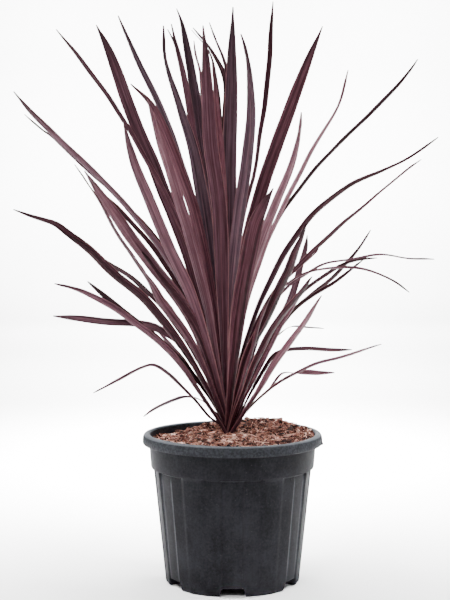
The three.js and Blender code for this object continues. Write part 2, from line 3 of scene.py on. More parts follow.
import bpy
import numpy as np
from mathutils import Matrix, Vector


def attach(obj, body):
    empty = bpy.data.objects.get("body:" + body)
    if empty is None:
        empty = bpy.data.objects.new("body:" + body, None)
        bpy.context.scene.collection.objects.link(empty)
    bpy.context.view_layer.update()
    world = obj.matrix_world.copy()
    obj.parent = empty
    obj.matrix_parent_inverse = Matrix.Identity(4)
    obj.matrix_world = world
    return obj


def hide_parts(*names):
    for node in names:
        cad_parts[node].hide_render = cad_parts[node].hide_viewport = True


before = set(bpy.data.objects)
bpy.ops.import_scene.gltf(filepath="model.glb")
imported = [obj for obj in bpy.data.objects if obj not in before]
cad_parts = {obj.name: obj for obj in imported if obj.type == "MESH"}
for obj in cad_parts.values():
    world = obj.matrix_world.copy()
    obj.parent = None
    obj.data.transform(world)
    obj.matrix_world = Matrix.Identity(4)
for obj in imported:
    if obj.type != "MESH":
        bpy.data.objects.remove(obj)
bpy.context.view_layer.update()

# Pot: a round nursery container of about seven litres, 240 mm across and 200 mm high, injection
# moulded in dark grey polypropylene with a rolled rim, a collar, six raised pilasters, and
# recessed panels that end at six drain notches in its foot.
POT_HEIGHT = 200.0
RIM_RADIUS = 120.0
RIM_SKIRT = 14.0
COLLAR_TOP_RADIUS = 111.0
COLLAR_FOOT_RADIUS = 108.3
COLLAR_FOOT_HEIGHT = 155.5
BODY_TOP_RADIUS = 105.0
BODY_TOP_HEIGHT = 150.5
BASE_RADIUS = 89.5
BASE_LEVEL = 3.5
POT_WALL = 1.8
FLOOR_LEVEL = 13.5
FLOOR_RADIUS = 80.0
FOOT_CHAMFER = 3.2
FOOT_ZONE = 50.0
PANEL_DEPTH = 1.6
RECESS_DEPTH = 4.4
PANEL_EDGE = (19.6, 23.4)
RECESS_EDGE = (7.4, 9.6)
FLUTE_FOOT_SHARE = 0.55
CHANNEL_HEIGHT = 10.0
CHANNEL_TOP_HALF = 13.2
CHANNEL_FOOT_HALF = 17.4
CHANNEL_START = 40.0
DRAIN_RADIUS = 5.0
DRAIN_AT = 66.0
DRAIN_STEP = 2.8
FLASH_ANGLE = math.radians(-10.0)
FLASH_LENGTH = 2.4
FLASH_DROP = 12.0
RIM_WARP = 0.5
WARP_START = 150.0
# The rim's outline, from the collar's top out and up over the roll and down inside: how far each
# place lies in from the rim's radius and down from its top.
RIM_OUTLINE = [
    (8.8, 6.5), (8.1, 4.8), (6.5, 4.2), (3.8, 4.5), (2.5, 5.6), (2.1, 8.0),
    (2.0, 11.6), (1.7, 13.3), (1.1, 13.9), (0.5, 13.4), (0.1, 12.2), (0.0, 10.0),
    (0.05, 7.6), (0.3, 5.4), (0.9, 3.5), (1.9, 1.9), (3.2, 0.8), (4.8, 0.2),
    (6.6, 0.0), (8.1, 0.2), (9.2, 0.9), (10.0, 2.0), (10.4, 3.5), (10.7, 6.0),
    (10.8, 12.0), (11.0, 17.0),
]
BODY_DARK = (0.0046, 0.0045, 0.0060, 1)
BODY_LIGHT = (0.0142, 0.0141, 0.0176, 1)
RIM_DARK = (0.0150, 0.0158, 0.0192, 1)
RIM_LIGHT = (0.0270, 0.0285, 0.0330, 1)
# Painted highlight: the bright band round the top of the rim's rolled lip
LIP_HIGHLIGHT = (0.110, 0.120, 0.132, 1)
# Painted highlight along the recess edges on the pot's left and right sides
EDGE_HIGHLIGHT = (0.062, 0.065, 0.072, 1)
SCUFFED = (0.018, 0.019, 0.024, 1)
DUST_FILM = (0.036, 0.036, 0.038, 1)
DUST_SPOT = (0.050, 0.049, 0.050, 1)


def smooth(low, high, value):
    """Rises from 0 at low to 1 at high along 3 t squared - 2 t cubed."""
    t = np.clip((value - low) / (high - low), 0.0, 1.0)
    return t * t * (3.0 - 2.0 * t)


def mix(a, b, t):
    """The value a share t of the way from a to b."""
    return a + (b - a) * t


MM = 0.001


def mesh_piece(name, points, quads, triangles, numbers=None, sharp=None):
    """A mesh object from arrays: points in millimetres, faces that index them, numbers with one
    value a point for each attribute name, and the angle in degrees past which edges are sharp."""
    mesh = bpy.data.meshes.new(name)
    corners = np.concatenate([np.ravel(quads), np.ravel(triangles)]).astype(np.int32)
    sizes = np.concatenate([np.full(len(quads), 4), np.full(len(triangles), 3)])
    starts = np.concatenate([[0], np.cumsum(sizes)[:-1]]).astype(np.int32)
    mesh.vertices.add(len(points))
    mesh.vertices.foreach_set("co", (np.asarray(points) * MM).astype(np.float32).ravel())
    mesh.loops.add(len(corners))
    mesh.loops.foreach_set("vertex_index", corners)
    mesh.polygons.add(len(sizes))
    mesh.polygons.foreach_set("loop_start", starts)
    mesh.update(calc_edges=True)
    mesh.validate()
    for label, values in (numbers or {}).items():
        attribute = mesh.attributes.new(label, "FLOAT", "POINT")
        attribute.data.foreach_set("value", np.asarray(values, np.float32).ravel())
    mesh.shade_smooth()
    if sharp is not None:
        mesh.set_sharp_from_angle(angle=math.radians(sharp))
    piece = bpy.data.objects.new(name, mesh)
    bpy.context.scene.collection.objects.link(piece)
    return piece


def closed_skin(name, points, numbers=None, sharp=None):
    """A closed surface from points[row, column]: columns join round, and a point in the middle of
    the first and the last row closes each end."""
    rows, columns = points.shape[:2]
    place = np.arange(rows * columns).reshape(rows, columns)
    beside = np.roll(place, -1, axis=1)
    quads = np.stack([place[:-1], beside[:-1], beside[1:], place[1:]], axis=-1).reshape(-1, 4)
    first, last = rows * columns, rows * columns + 1
    start = np.stack([beside[0], place[0], np.full(columns, first)], axis=-1)
    end = np.stack([place[-1], beside[-1], np.full(columns, last)], axis=-1)
    ends = [points[0].mean(axis=0), points[-1].mean(axis=0)]
    all_points = np.concatenate([points.reshape(-1, 3), ends])
    extended = {}
    for label, values in (numbers or {}).items():
        extended[label] = np.concatenate([values.ravel(), [values[0].mean(), values[-1].mean()]])
    triangles = np.concatenate([start, end])
    return mesh_piece(name, all_points, quads, triangles, extended, sharp)


def round_stations():
    """Angles round the pot, close together at the edges of recesses, notches and pilasters."""
    half = np.concatenate([
        np.arange(0, 6.6, 1.1),
        np.arange(6.6, 12.6, 0.3),
        np.arange(12.6, 19.6, 1.4),
        np.arange(19.6, 23.5, 0.39),
        np.arange(23.5, 30.0, 1.3),
    ])
    sixth = np.concatenate([half, [30.0], 60.0 - half[:0:-1]])
    turns = (np.arange(6)[:, None] * 60.0 + sixth[None, :]).ravel()
    return np.radians(turns - 90.0)


def from_recess(angle):
    """Degrees from the middle of the nearest recess, -30 to 30: one lies at the front and one at
    each sixth of a turn from it."""
    return (np.degrees(angle) + 120.0) % 60.0 - 30.0


def flute_press(angle):
    """Depth pressed into the side: a shallow panel between pilasters, a deep recess inside it."""
    away = np.abs(from_recess(angle))
    panel = 1.0 - smooth(*PANEL_EDGE, away)
    recess = 1.0 - smooth(*RECESS_EDGE, away)
    return mix(PANEL_DEPTH * panel, RECESS_DEPTH, recess)


def recess_edge_highlights(angle, points):
    """Painted highlight, 0 to 1, along the edges of the recesses to the left and right: a bell
    curve of the angle from each edge, faded out at the foot and under the collar."""
    from_edge = np.abs(from_recess(angle)) - RECESS_EDGE[0]
    beside = smooth(0.4, 0.7, np.abs(np.cos(angle)))
    height = points[..., 2]
    upright = smooth(6.0, 40.0, height) * (1.0 - smooth(142.0, BODY_TOP_HEIGHT + 0.5, height))
    return np.exp(-(from_edge / 1.2) ** 2) * beside * upright


def channel_rise(radius, angle):
    """Height of the underside: raised along six radial channels with sloping sides, and raised
    again at the drain hole in each channel."""
    aside = np.radians(from_recess(angle))
    across = np.abs(radius * np.sin(aside))
    along = radius * np.cos(aside)
    rise = CHANNEL_HEIGHT * (1.0 - smooth(CHANNEL_TOP_HALF, CHANNEL_FOOT_HALF, across))
    drain = 1.0 - smooth(DRAIN_RADIUS - 0.8, DRAIN_RADIUS, np.hypot(across, along - DRAIN_AT))
    return rise * smooth(CHANNEL_START, CHANNEL_START + 2.5, radius) + DRAIN_STEP * drain


def pot_points(angle):
    """Rings of the pot from the middle of its underside, out and up the side, over the rim and
    down inside to the floor: each ring gives a radius and a height at every angle."""
    press = flute_press(angle)
    level = np.zeros_like(angle)
    rings = []

    def side(height):
        taper = (height - BASE_LEVEL) / (BODY_TOP_HEIGHT - BASE_LEVEL)
        return mix(BASE_RADIUS, BODY_TOP_RADIUS, taper) - mix(FLUTE_FOOT_SHARE, 1.0, taper) * press

    edge = side(level) - FOOT_CHAMFER
    inner = [0.06, 0.22, 0.38, 0.465, 0.48, 0.495, 0.52, 0.58, 0.65]
    drain = np.arange(0.70, 0.86, 0.0085)
    outer = [0.88, 0.92, 0.96, 1.0]
    for share in np.concatenate([inner, drain, outer]):
        radius = edge * share
        rings.append((radius, channel_rise(radius, angle)))
    notch = channel_rise(edge + 2.0, angle)
    foot = [(1.6, 0.35), (0.6, 1.2), (0.1, 2.6), (0, 4), (0, 12), (0, 22), (0, 34), (0, FOOT_ZONE)]
    for inset, height in foot:
        raised = notch + height * (1.0 - notch / FOOT_ZONE)
        rings.append((side(raised) - inset, raised))
    for height in (70, 90, 110, 128, 140, 147, BODY_TOP_HEIGHT):
        rings.append((side(level + height), level + height))
    sunk = np.clip(press / PANEL_DEPTH, 0.0, 1.0)
    for u in np.linspace(0.12, 1.0, 9):
        slope_radius = mix(BODY_TOP_RADIUS, COLLAR_FOOT_RADIUS, u)
        slope_height = mix(BODY_TOP_HEIGHT, COLLAR_FOOT_HEIGHT, u)
        out = smooth(0.5, 1.0, u)
        cut_radius = mix(BODY_TOP_RADIUS - press, COLLAR_FOOT_RADIUS, out)
        cut_height = mix(BODY_TOP_HEIGHT, COLLAR_FOOT_HEIGHT - 0.5, min(1.0, 2.0 * u))
        rings.append((mix(slope_radius, cut_radius, sunk), mix(slope_height, cut_height, sunk)))
    collar_height = POT_HEIGHT - RIM_SKIRT - COLLAR_FOOT_HEIGHT
    collar = [(0.35, 0.7), (0.5, 1.8), (0.5, 8), (0.4, 16), (0.2, 24), (0, collar_height)]
    for proud, height in collar:
        radius = mix(COLLAR_FOOT_RADIUS, COLLAR_TOP_RADIUS, height / collar_height) + proud
        rings.append((level + radius, level + COLLAR_FOOT_HEIGHT + height))
    for inset, drop in RIM_OUTLINE:
        flash = np.exp(-((angle - FLASH_ANGLE) / 0.014) ** 2 - ((drop - FLASH_DROP) / 2.2) ** 2)
        outward = FLASH_LENGTH * flash if inset < 2.0 else 0.0
        rings.append((level + RIM_RADIUS - inset + outward, level + POT_HEIGHT - drop))
    inside = [
        (COLLAR_FOOT_RADIUS - POT_WALL, COLLAR_FOOT_HEIGHT, 0.0),
        (BODY_TOP_RADIUS - POT_WALL, BODY_TOP_HEIGHT, 1.0),
        (BASE_RADIUS - POT_WALL, FLOOR_LEVEL + 1.5, FLUTE_FOOT_SHARE),
        (FLOOR_RADIUS, FLOOR_LEVEL, 0.0),
        (6.0, FLOOR_LEVEL, 0.0),
    ]
    for radius, height, share in inside:
        rings.append((level + radius - share * press, level + height))
    radius = np.stack([ring[0] for ring in rings])
    height = np.stack([ring[1] for ring in rings])
    warp = smooth(WARP_START, POT_HEIGHT, height) * RIM_WARP * np.sin(2.0 * angle + 0.7)
    height = height + warp
    return np.stack([radius * np.cos(angle), radius * np.sin(angle), height], axis=-1)


class Wire:
    """A socket in a material's node tree. An expression on it adds the Math nodes for it."""

    def __init__(self, tree, socket=None):
        self.tree = tree
        self.socket = socket

    def node(self, kind, settings=None, inputs=None, out=0):
        """Adds a node: its settings first, then a value or a Wire for each input named."""
        made = self.tree.nodes.new(kind)
        for name, value in (settings or {}).items():
            if name == "stops":
                ramp = made.color_ramp
                while len(ramp.elements) < len(value):
                    ramp.elements.new(0.5)
                for element, (position, colour) in zip(ramp.elements, value):
                    element.position = position
                    element.color = (*colour, 1.0)
            else:
                setattr(made, name, value)
        for name, value in (inputs or {}).items():
            if isinstance(value, Wire):
                self.tree.links.new(value.socket, made.inputs[name])
            else:
                made.inputs[name].default_value = value
        return Wire(self.tree, made.outputs[out])

    def maths(self, operation, a, b=0.0):
        return self.node("ShaderNodeMath", {"operation": operation}, {0: a, 1: b})

    def __add__(self, other):
        return self.maths("ADD", self, other)

    def __radd__(self, other):
        return self.maths("ADD", other, self)

    def __sub__(self, other):
        return self.maths("SUBTRACT", self, other)

    def __rsub__(self, other):
        return self.maths("SUBTRACT", other, self)

    def __mul__(self, other):
        return self.maths("MULTIPLY", self, other)

    def __rmul__(self, other):
        return self.maths("MULTIPLY", other, self)

    def between(self, low, high):
        """0 below low and 1 above high, with a soft step from one to the other."""
        settings = {"interpolation_type": "SMOOTHSTEP"}
        return self.node("ShaderNodeMapRange", settings, {"Value": self, 1: low, 2: high})

    def blend(self, a, b):
        """The colour a where this is 0 and b where it is 1."""
        return self.node("ShaderNodeMix", {"data_type": "RGBA"}, {0: self, 6: a, 7: b}, out=2)

    def noise(self, vector, scale, detail=2.0, roughness=0.5):
        settings = {"noise_dimensions": "3D"}
        inputs = {"Vector": vector, "Scale": scale, "Detail": detail, "Roughness": roughness}
        return self.node("ShaderNodeTexNoise", settings, inputs)

    def stretched(self, vector, across, along, up):
        """The same coordinates, scaled by a number along each axis."""
        inputs = {0: vector, 1: (across, along, up)}
        return self.node("ShaderNodeVectorMath", {"operation": "MULTIPLY"}, inputs)

    def vector(self, x, y, z):
        return self.node("ShaderNodeCombineXYZ", inputs={0: x, 1: y, 2: z})

    def ramp(self, stops):
        """The colour of the stops at this value: each stop is a position and a colour."""
        return self.node("ShaderNodeValToRGB", {"stops": stops}, {0: self})

    def bump(self, strength, distance):
        """Normals of a surface that this raises by up to a distance in metres."""
        inputs = {"Strength": strength, "Distance": distance, "Height": self}
        return self.node("ShaderNodeBump", inputs=inputs)

    def place(self):
        """The place on the piece, in metres."""
        return self.node("ShaderNodeTexCoord", out=3)

    def number(self, name):
        """The piece's own attribute of that name."""
        return self.node("ShaderNodeAttribute", {"attribute_name": name}, out=2)


def new_material(name, specular=0.5):
    """A material with a Principled shader: its tree's Wire, and the shader to link into."""
    material = bpy.data.materials.new(name)
    material.use_nodes = True
    tree = material.node_tree
    shader = tree.nodes["Principled BSDF"]
    shader.inputs["Specular IOR Level"].default_value = specular
    return material, Wire(tree), shader


def feed(wire, shader, socket):
    wire.tree.links.new(wire.socket, shader.inputs[socket])


stations = round_stations()
pot_skin = pot_points(stations)
pot = closed_skin("moulded_pot", pot_skin, {"scuff": recess_edge_highlights(stations, pot_skin)}, sharp=38)

pot_plastic, w, shader = new_material("pot_plastic", specular=0.06)
here = w.place()
height = w.node("ShaderNodeSeparateXYZ", inputs={0: here}, out=2)
clouding = w.noise(here, 16.0, 4.0, 0.6)
scuffs = w.noise(w.stretched(here, 1.0, 1.0, 0.16), 170.0, 3.0, 0.6)
grain = w.noise(here, 900.0, 2.0, 0.6)
dust_spots = w.noise(here, 420.0, 1.0, 0.5).between(0.70, 0.78)
dust_film = w.noise(here, 34.0, 3.0, 0.6).between(0.4, 0.75)
foot_dirt = 1.0 - height.between(0.0, 0.05)
mottle = w.noise(here, 330.0, 3.0, 0.7)
patchy = (clouding * 0.6 + mottle * 0.4).between(0.36, 0.64)
body = patchy.blend(BODY_DARK, BODY_LIGHT)
rim = mottle.between(0.40, 0.62).blend(RIM_DARK, RIM_LIGHT)
rim_foot = (POT_HEIGHT - RIM_SKIRT) * MM
plastic = height.between(rim_foot - 0.003, rim_foot + 0.002).blend(body, rim)
lip = POT_HEIGHT * MM
# Painted highlight: a thin bright band round the top of the rolled lip, mottled a little
lip_highlight = height.between(lip - 0.0028, lip - 0.0008) * (0.55 + mottle * 0.5)
lip_lit = lip_highlight.blend(plastic, LIP_HIGHLIGHT)
scuffed = (scuffs.between(0.5, 0.8) * 0.30).blend(lip_lit, SCUFFED)
# Painted highlight: bright bands along the recess edges on the pot's left and right sides, where
# the side lamps light them
edged = (w.number("scuff") * (0.40 + mottle * 0.8)).blend(scuffed, EDGE_HIGHLIGHT)
filmed = (dust_film * (0.07 + foot_dirt * 0.08)).blend(edged, DUST_FILM)
feed((dust_spots * 0.3).blend(filmed, DUST_SPOT), shader, "Base Color")
feed(0.50 + clouding * 0.12 + scuffs * 0.10 + dust_film * 0.08, shader, "Roughness")
relief = grain * 0.5 + mottle * 0.5 + scuffs * 0.35 + dust_spots * 0.3
feed(relief.bump(0.35, 0.0003), shader, "Normal")
pot.data.materials.append(pot_plastic)
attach(pot, "root")
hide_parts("pot")

# Compost: a bed of composted bark and coir, filled to a little below the rim and heaped behind the
# plant. The bed itself is one lumpy surface that the loose pieces lie on.
SOIL_LEVEL = 190.0
SOIL_RADIUS = 108.9
STEM_X = -5.0
# Heaps on the bed: the rise, the middle in x and y, and the half width and half depth of each
HEAPS = [
    (7.0, STEM_X, 0.0, 42.0, 38.0),
    (14.5, 42.0, 76.0, 74.0, 38.0),
    (8.0, -30.0, 48.0, 20.0, 26.0),
    (8.0, 104.0, 8.0, 26.0, 44.0),
    (-4.5, -74.0, 62.0, 34.0, 40.0),
]
FRONT_RISE = 3.0
BED_BOTTOM = 160.0
BED_RINGS = 96
BED_STATIONS = 360
LATTICE = 256
BED_STOPS = [
    (0.30, (0.006, 0.003, 0.002)),
    (0.46, (0.034, 0.012, 0.008)),
    (0.58, (0.110, 0.042, 0.028)),
    (0.72, (0.260, 0.120, 0.085)),
]


def lumps(x, y, size, seed):
    """Soft random hills of a given size: random heights on a square lattice, blended between
    lattice points by a smooth step in x and in y."""
    heights = np.random.default_rng(seed).uniform(-1.0, 1.0, (LATTICE, LATTICE))
    u = x / size + LATTICE / 2
    v = y / size + LATTICE / 2
    i = np.floor(u).astype(int)
    j = np.floor(v).astype(int)
    a = smooth(0.0, 1.0, u - i)
    b = smooth(0.0, 1.0, v - j)
    low = mix(heights[i, j], heights[i + 1, j], a)
    high = mix(heights[i, j + 1], heights[i + 1, j + 1], a)
    return mix(low, high, b)


def soil_height(x, y):
    """Level of the compost: the sum of bell-shaped heaps (a mound at the stem, a wide heap behind
    to the right, a small one behind to the left, a bank against the right wall, and a hollow), a
    slight rise at the front, and three sizes of waves."""
    level = SOIL_LEVEL + FRONT_RISE * smooth(10.0, 90.0, -y)
    for rise, middle_x, middle_y, wide, deep in HEAPS:
        level = level + rise * np.exp(-((x - middle_x) / wide) ** 2 - ((y - middle_y) / deep) ** 2)
    waves = (
        1.5 * np.sin(x / 6.1 + 1.3) * np.sin(y / 7.3)
        + 1.1 * np.sin(x / 3.9 + y / 8.7) * np.cos(y / 4.6 + 0.7)
        + 0.7 * np.sin(x / 2.7 - y / 3.3)
    )
    beside = smooth(11.0, 24.0, np.hypot(x - STEM_X, y))
    return level + waves * beside


def crumbly(x, y):
    """The compost's level with its crumbs: the soil height and three sizes of random hills."""
    hills = 1.3 * lumps(x, y, 5.0, 3) + 0.9 * lumps(x, y, 2.2, 4) + 0.4 * lumps(x, y, 1.1, 5)
    return soil_height(x, y) + hills


def soil_points():
    """Rings from the middle of the bed outwards on its crumbly surface, then inwards under it."""
    angle = np.linspace(0.0, 2.0 * np.pi, BED_STATIONS, endpoint=False)
    radius = np.linspace(1.0, SOIL_RADIUS, BED_RINGS)[:, None] * np.ones_like(angle)
    x = radius * np.cos(angle)
    y = radius * np.sin(angle)
    top = np.stack([x, y, crumbly(x, y)], axis=-1)
    x, y = 0.97 * x[::-24], 0.97 * y[::-24]
    under = np.stack([x, y, np.full_like(x, BED_BOTTOM)], axis=-1)
    return np.concatenate([top, under])[::-1]


soil = closed_skin("compost_bed", soil_points())

compost, w, shader = new_material("compost", specular=0.25)
here = w.place()
coarse = w.noise(here, 190.0, 5.0, 0.65)
fine = w.noise(here, 620.0, 4.0, 0.7)
relief = coarse * 0.6 + fine * 0.4
feed(relief.ramp(BED_STOPS), shader, "Base Color")
feed(0.80 + fine * 0.2, shader, "Roughness")
feed(relief.bump(1.0, 0.002), shader, "Normal")
soil.data.materials.append(compost)
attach(soil, "root")
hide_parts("soil")

# Loose bark: thousands of small flat chips and crumbs of composted bark, from nearly black to pale
# tan, that lie on the bed at all angles. Each is a rough box of six faces.
CHIP_COUNT = 7600
CHIP_REACH = 106.5
CHIP_SHORTEST = 1.4
CHIP_LONGEST = 14.0
CRUMB_COUNT = 6000
CRUMB_REACH = 107.5
STEM_CLEARANCE = 6.0
BARK_STOPS = [
    (0.14, (0.008, 0.002, 0.001)),
    (0.36, (0.055, 0.013, 0.007)),
    (0.57, (0.208, 0.078, 0.054)),
    (0.77, (0.500, 0.245, 0.182)),
    (0.97, (0.940, 0.620, 0.510)),
]


def turned(yaw, tilt, roll):
    """Rotation matrices, one for each piece: a roll about X, a tilt about Y, a yaw about Z."""
    cy, sy = np.cos(yaw), np.sin(yaw)
    ct, st = np.cos(tilt), np.sin(tilt)
    cr, sr = np.cos(roll), np.sin(roll)
    return np.stack([
        np.stack([cy * ct, cy * st * sr - sy * cr, cy * st * cr + sy * sr], axis=-1),
        np.stack([sy * ct, sy * st * sr + cy * cr, sy * st * cr - cy * sr], axis=-1),
        np.stack([-st, ct * sr, ct * cr], axis=-1),
    ], axis=-2)


def scattered(count, reach, seed):
    """Random places on the disc of the bed, evenly spread, kept off the stem."""
    rng = np.random.default_rng(seed)
    radius = reach * np.sqrt(rng.uniform(0.0, 1.0, count))
    angle = rng.uniform(0.0, 2.0 * np.pi, count)
    x = radius * np.cos(angle)
    y = radius * np.sin(angle)
    near = np.hypot(x - STEM_X, y)
    push = np.where(near < STEM_CLEARANCE, STEM_CLEARANCE / np.maximum(near, 0.5), 1.0)
    return STEM_X + (x - STEM_X) * push, y * push, rng


def rough_boxes(name, x, y, z, sizes, matrices, tone, rng):
    """One mesh of many boxes: eight corners of a unit box, shaken a little, scaled, turned and
    moved to each place."""
    count = len(x)
    corner = np.array([
        [-1, -1, -1], [1, -1, -1], [1, 1, -1], [-1, 1, -1],
        [-1, -1, 1], [1, -1, 1], [1, 1, 1], [-1, 1, 1],
    ]) * 0.5
    shaken = corner[None] * rng.uniform(0.45, 1.0, (count, 8, 3)) * sizes[:, None, :]
    points = np.einsum("nij,nkj->nki", matrices, shaken) + np.stack([x, y, z], axis=-1)[:, None, :]
    box = np.array([
        [0, 3, 2, 1], [4, 5, 6, 7], [0, 1, 5, 4],
        [1, 2, 6, 5], [2, 3, 7, 6], [3, 0, 4, 7],
    ])
    quads = (np.arange(count)[:, None, None] * 8 + box[None]).reshape(-1, 4)
    numbers = {"tone": np.repeat(tone, 8)}
    return mesh_piece(name, points.reshape(-1, 3), quads, np.zeros((0, 3), int), numbers, sharp=30)


def loose_tone(x, y, tone, rng):
    """Tone of each loose piece: darker or paler by patches, by narrower patches of painted shade
    and painted light too in the front half, in place of shadows between the pieces, paler still
    in front of the stem and on the bank at the right. Kept between 0 and 1."""
    in_front = np.exp(-((x - 2.0) / 17.0) ** 2 - ((y + 38.0) / 26.0) ** 2)
    on_bank = np.exp(-((x - 96.0) / 13.0) ** 2 - ((y + 4.0) / 30.0) ** 2)
    paler = np.maximum(in_front, on_bank) * rng.uniform(-0.2, 1.0, len(x))
    patches = 0.14 * lumps(x, y, 16.0, 6)
    # Painted shade and light: narrow darker and paler patches in the front half, in place of
    # shadows between the pieces
    front_painted_shading = smooth(5.0, 45.0, -y) * (0.34 * lumps(x * 2.4, y, 13.0, 7) - 0.05)
    return np.clip(tone + patches + front_painted_shading + 0.42 * paler, 0.0, 1.0)


def bark_material():
    material, w, shader = new_material("bark_chips", specular=0.3)
    here = w.place()
    streaks = w.noise(w.stretched(here, 1.0, 0.35, 1.0), 700.0, 3.0, 0.6)
    tone = w.number("tone") * 0.8 + streaks * 0.28
    feed(tone.ramp(BARK_STOPS), shader, "Base Color")
    feed(0.72 + streaks * 0.2, shader, "Roughness")
    feed(streaks.bump(0.6, 0.0006), shader, "Normal")
    return material


bark = bark_material()
x, y, rng = scattered(CHIP_COUNT, CHIP_REACH, 11)
long_side = np.exp(rng.normal(1.38, 0.48, CHIP_COUNT)).clip(CHIP_SHORTEST, CHIP_LONGEST)
sizes = long_side[:, None] * np.stack([
    np.ones(CHIP_COUNT),
    rng.uniform(0.22, 0.60, CHIP_COUNT),
    rng.uniform(0.12, 0.28, CHIP_COUNT),
], axis=-1)
yaw = rng.uniform(0, 2.0 * np.pi, CHIP_COUNT)
matrices = turned(yaw, rng.normal(0, 0.46, CHIP_COUNT), rng.normal(0, 0.6, CHIP_COUNT))
z = crumbly(x, y) + rng.uniform(-1.0, 2.2, CHIP_COUNT)
tone = loose_tone(x, y, rng.beta(0.90, 1.20, CHIP_COUNT), rng)
chips = rough_boxes("bark_chips", x, y, z, sizes, matrices, tone, rng)
chips.data.materials.append(bark)
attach(chips, "root")
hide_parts("soil")

x, y, rng = scattered(CRUMB_COUNT, CRUMB_REACH, 12)
sizes = rng.uniform(0.7, 2.2, (CRUMB_COUNT, 3))
matrices = turned(*rng.uniform(0, 6.28, (3, CRUMB_COUNT)))
z = crumbly(x, y) + rng.uniform(0.0, 1.0, CRUMB_COUNT)
tone = loose_tone(x, y, rng.beta(0.9, 1.1, CRUMB_COUNT), rng)
crumbs = rough_boxes("bark_crumbs", x, y, z, sizes, matrices, tone, rng)
crumbs.data.materials.append(bark)
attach(crumbs, "root")
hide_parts("soil")

# Coir and bark strands: pale fibres of coir and narrow torn strips of bark that lie bent on top of
# the compost. Each is a thin three-sided thread along an arc.
SOIL_INSIDE = 107.5


def strands(name, count, reach, seed, pale, lengths, thicknesses, humps):
    """One mesh of many threads. Each has rings of three points along an arc that runs forward by
    its length, and to one side and upwards by a parabola, with thin ends."""
    x, y, rng = scattered(count, reach, seed)
    tone = loose_tone(x, y, rng.beta(*pale, count), rng)
    length = rng.uniform(*lengths, count)
    thick = rng.uniform(*thicknesses, count)
    hump = rng.uniform(*humps, count)
    steps = 7
    yaw = rng.uniform(0, 2 * np.pi, count)
    bend = rng.uniform(-0.25, 0.25, count) * length
    climb = rng.normal(0, 0.12, count) * length
    s = np.linspace(-0.5, 0.5, steps)[None, :]
    forward = length[:, None] * s
    aside = bend[:, None] * (0.25 - s * s) * 4.0
    lift = hump[:, None] * (0.25 - s * s) * 4.0 + climb[:, None] * s
    px = x[:, None] + forward * np.cos(yaw)[:, None] - aside * np.sin(yaw)[:, None]
    py = y[:, None] + forward * np.sin(yaw)[:, None] + aside * np.cos(yaw)[:, None]
    outside = np.maximum(np.hypot(px, py) / SOIL_INSIDE, 1.0)
    pz = crumbly(x, y)[:, None] + 0.9 + lift
    middle = np.stack([px / outside, py / outside, pz], axis=-1)
    round_angle = np.array([0.5, 2.6, 4.7])
    side = np.stack([-np.sin(yaw), np.cos(yaw), np.zeros(count)], axis=-1)[:, None, :]
    up = np.array([0.0, 0.0, 1.0])
    ring = np.cos(round_angle)[:, None] * side + np.sin(round_angle)[:, None] * up
    thin = thick[:, None, None, None] * (1.0 - 0.6 * np.abs(s) * 2.0)[:, :, None, None]
    points = middle[:, :, None, :] + ring[:, None, :, :] * thin
    place = np.arange(steps * 3).reshape(steps, 3)
    beside = np.roll(place, -1, axis=1)
    strip = np.stack([place[:-1], beside[:-1], beside[1:], place[1:]], axis=-1).reshape(-1, 4)
    caps = np.array([place[0][::-1], place[-1]])
    start = np.arange(count)[:, None, None] * steps * 3
    quads = (start + strip).reshape(-1, 4)
    ends = (start + caps).reshape(-1, 3)
    numbers = {"tone": np.repeat(tone, steps * 3)}
    piece = mesh_piece(name, points.reshape(-1, 3), quads, ends, numbers)
    piece.data.materials.append(bark)
    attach(piece, "root")
    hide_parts("soil")


strands("coir_fibres", 1500, 103.0, 13, (2.2, 1.4), (5.0, 15.0), (0.20, 0.44), (0.2, 1.6))
strands("bark_strips", 420, 100.0, 14, (2.4, 1.3), (8.0, 20.0), (0.40, 0.95), (0.5, 3.0))

# Leaves: long, narrow, tough blades that come out of a very short stem in a spiral, each with a
# clasping foot, folded like a trough low down, flatter to its middle and drawn out to a long
# point. The upper face is dark purple, the lower one pinker, and the edges are thin red lines.
LEAF_FOOT_LEVEL = 189.0
LEAF_FOOT_RISE = 0.24
LEAF_FOOT_INSET = 2.0
SHEATH_WIDTH = 5.6
SHEATH_LENGTH = 0.2
FOOT_WIDTH_SHARE = 0.58
TAPER_START = 0.58
POINT_WIDTH = 4.8
POINT_CUT = 3.0
THICK_AT_FOOT = 1.1
THICK_AT_TIP = 0.45
MARGIN_WAVE = 0.35
WAVE_LENGTH = 11.0
RED_STOPS = [
    (0.00, (0.0054, 0.0012, 0.0018)),
    (0.25, (0.0262, 0.0066, 0.0096)),
    (0.50, (0.0710, 0.0228, 0.0315)),
    (0.75, (0.1400, 0.0565, 0.0700)),
    (1.00, (0.2900, 0.1350, 0.1520)),
]
GREY_STOPS = [
    (0.00, (0.0034, 0.0020, 0.0030)),
    (0.25, (0.0175, 0.0108, 0.0152)),
    (0.50, (0.0480, 0.0310, 0.0410)),
    (0.75, (0.1020, 0.0650, 0.0810)),
    (1.00, (0.2200, 0.1450, 0.1700)),
]
MARGIN_RED = (0.220, 0.098, 0.102, 1)
KEEL_RED = (0.130, 0.052, 0.062, 1)
# Painted shade in the trough of the fold beside the keel, low down
GROOVE_PAINTED_SHADE = (0.020, 0.005, 0.008, 1)
# Painted shade at the blade's foot, deep in the heart of the plant
FOOT_PAINTED_SHADE = (0.022, 0.004, 0.007, 1)
TIP_DARK = (0.014, 0.005, 0.007, 1)
FOLD_AT_FOOT = 0.62
FOLD_AT_TIP = 0.22
BACKWARD_COUNT = 12
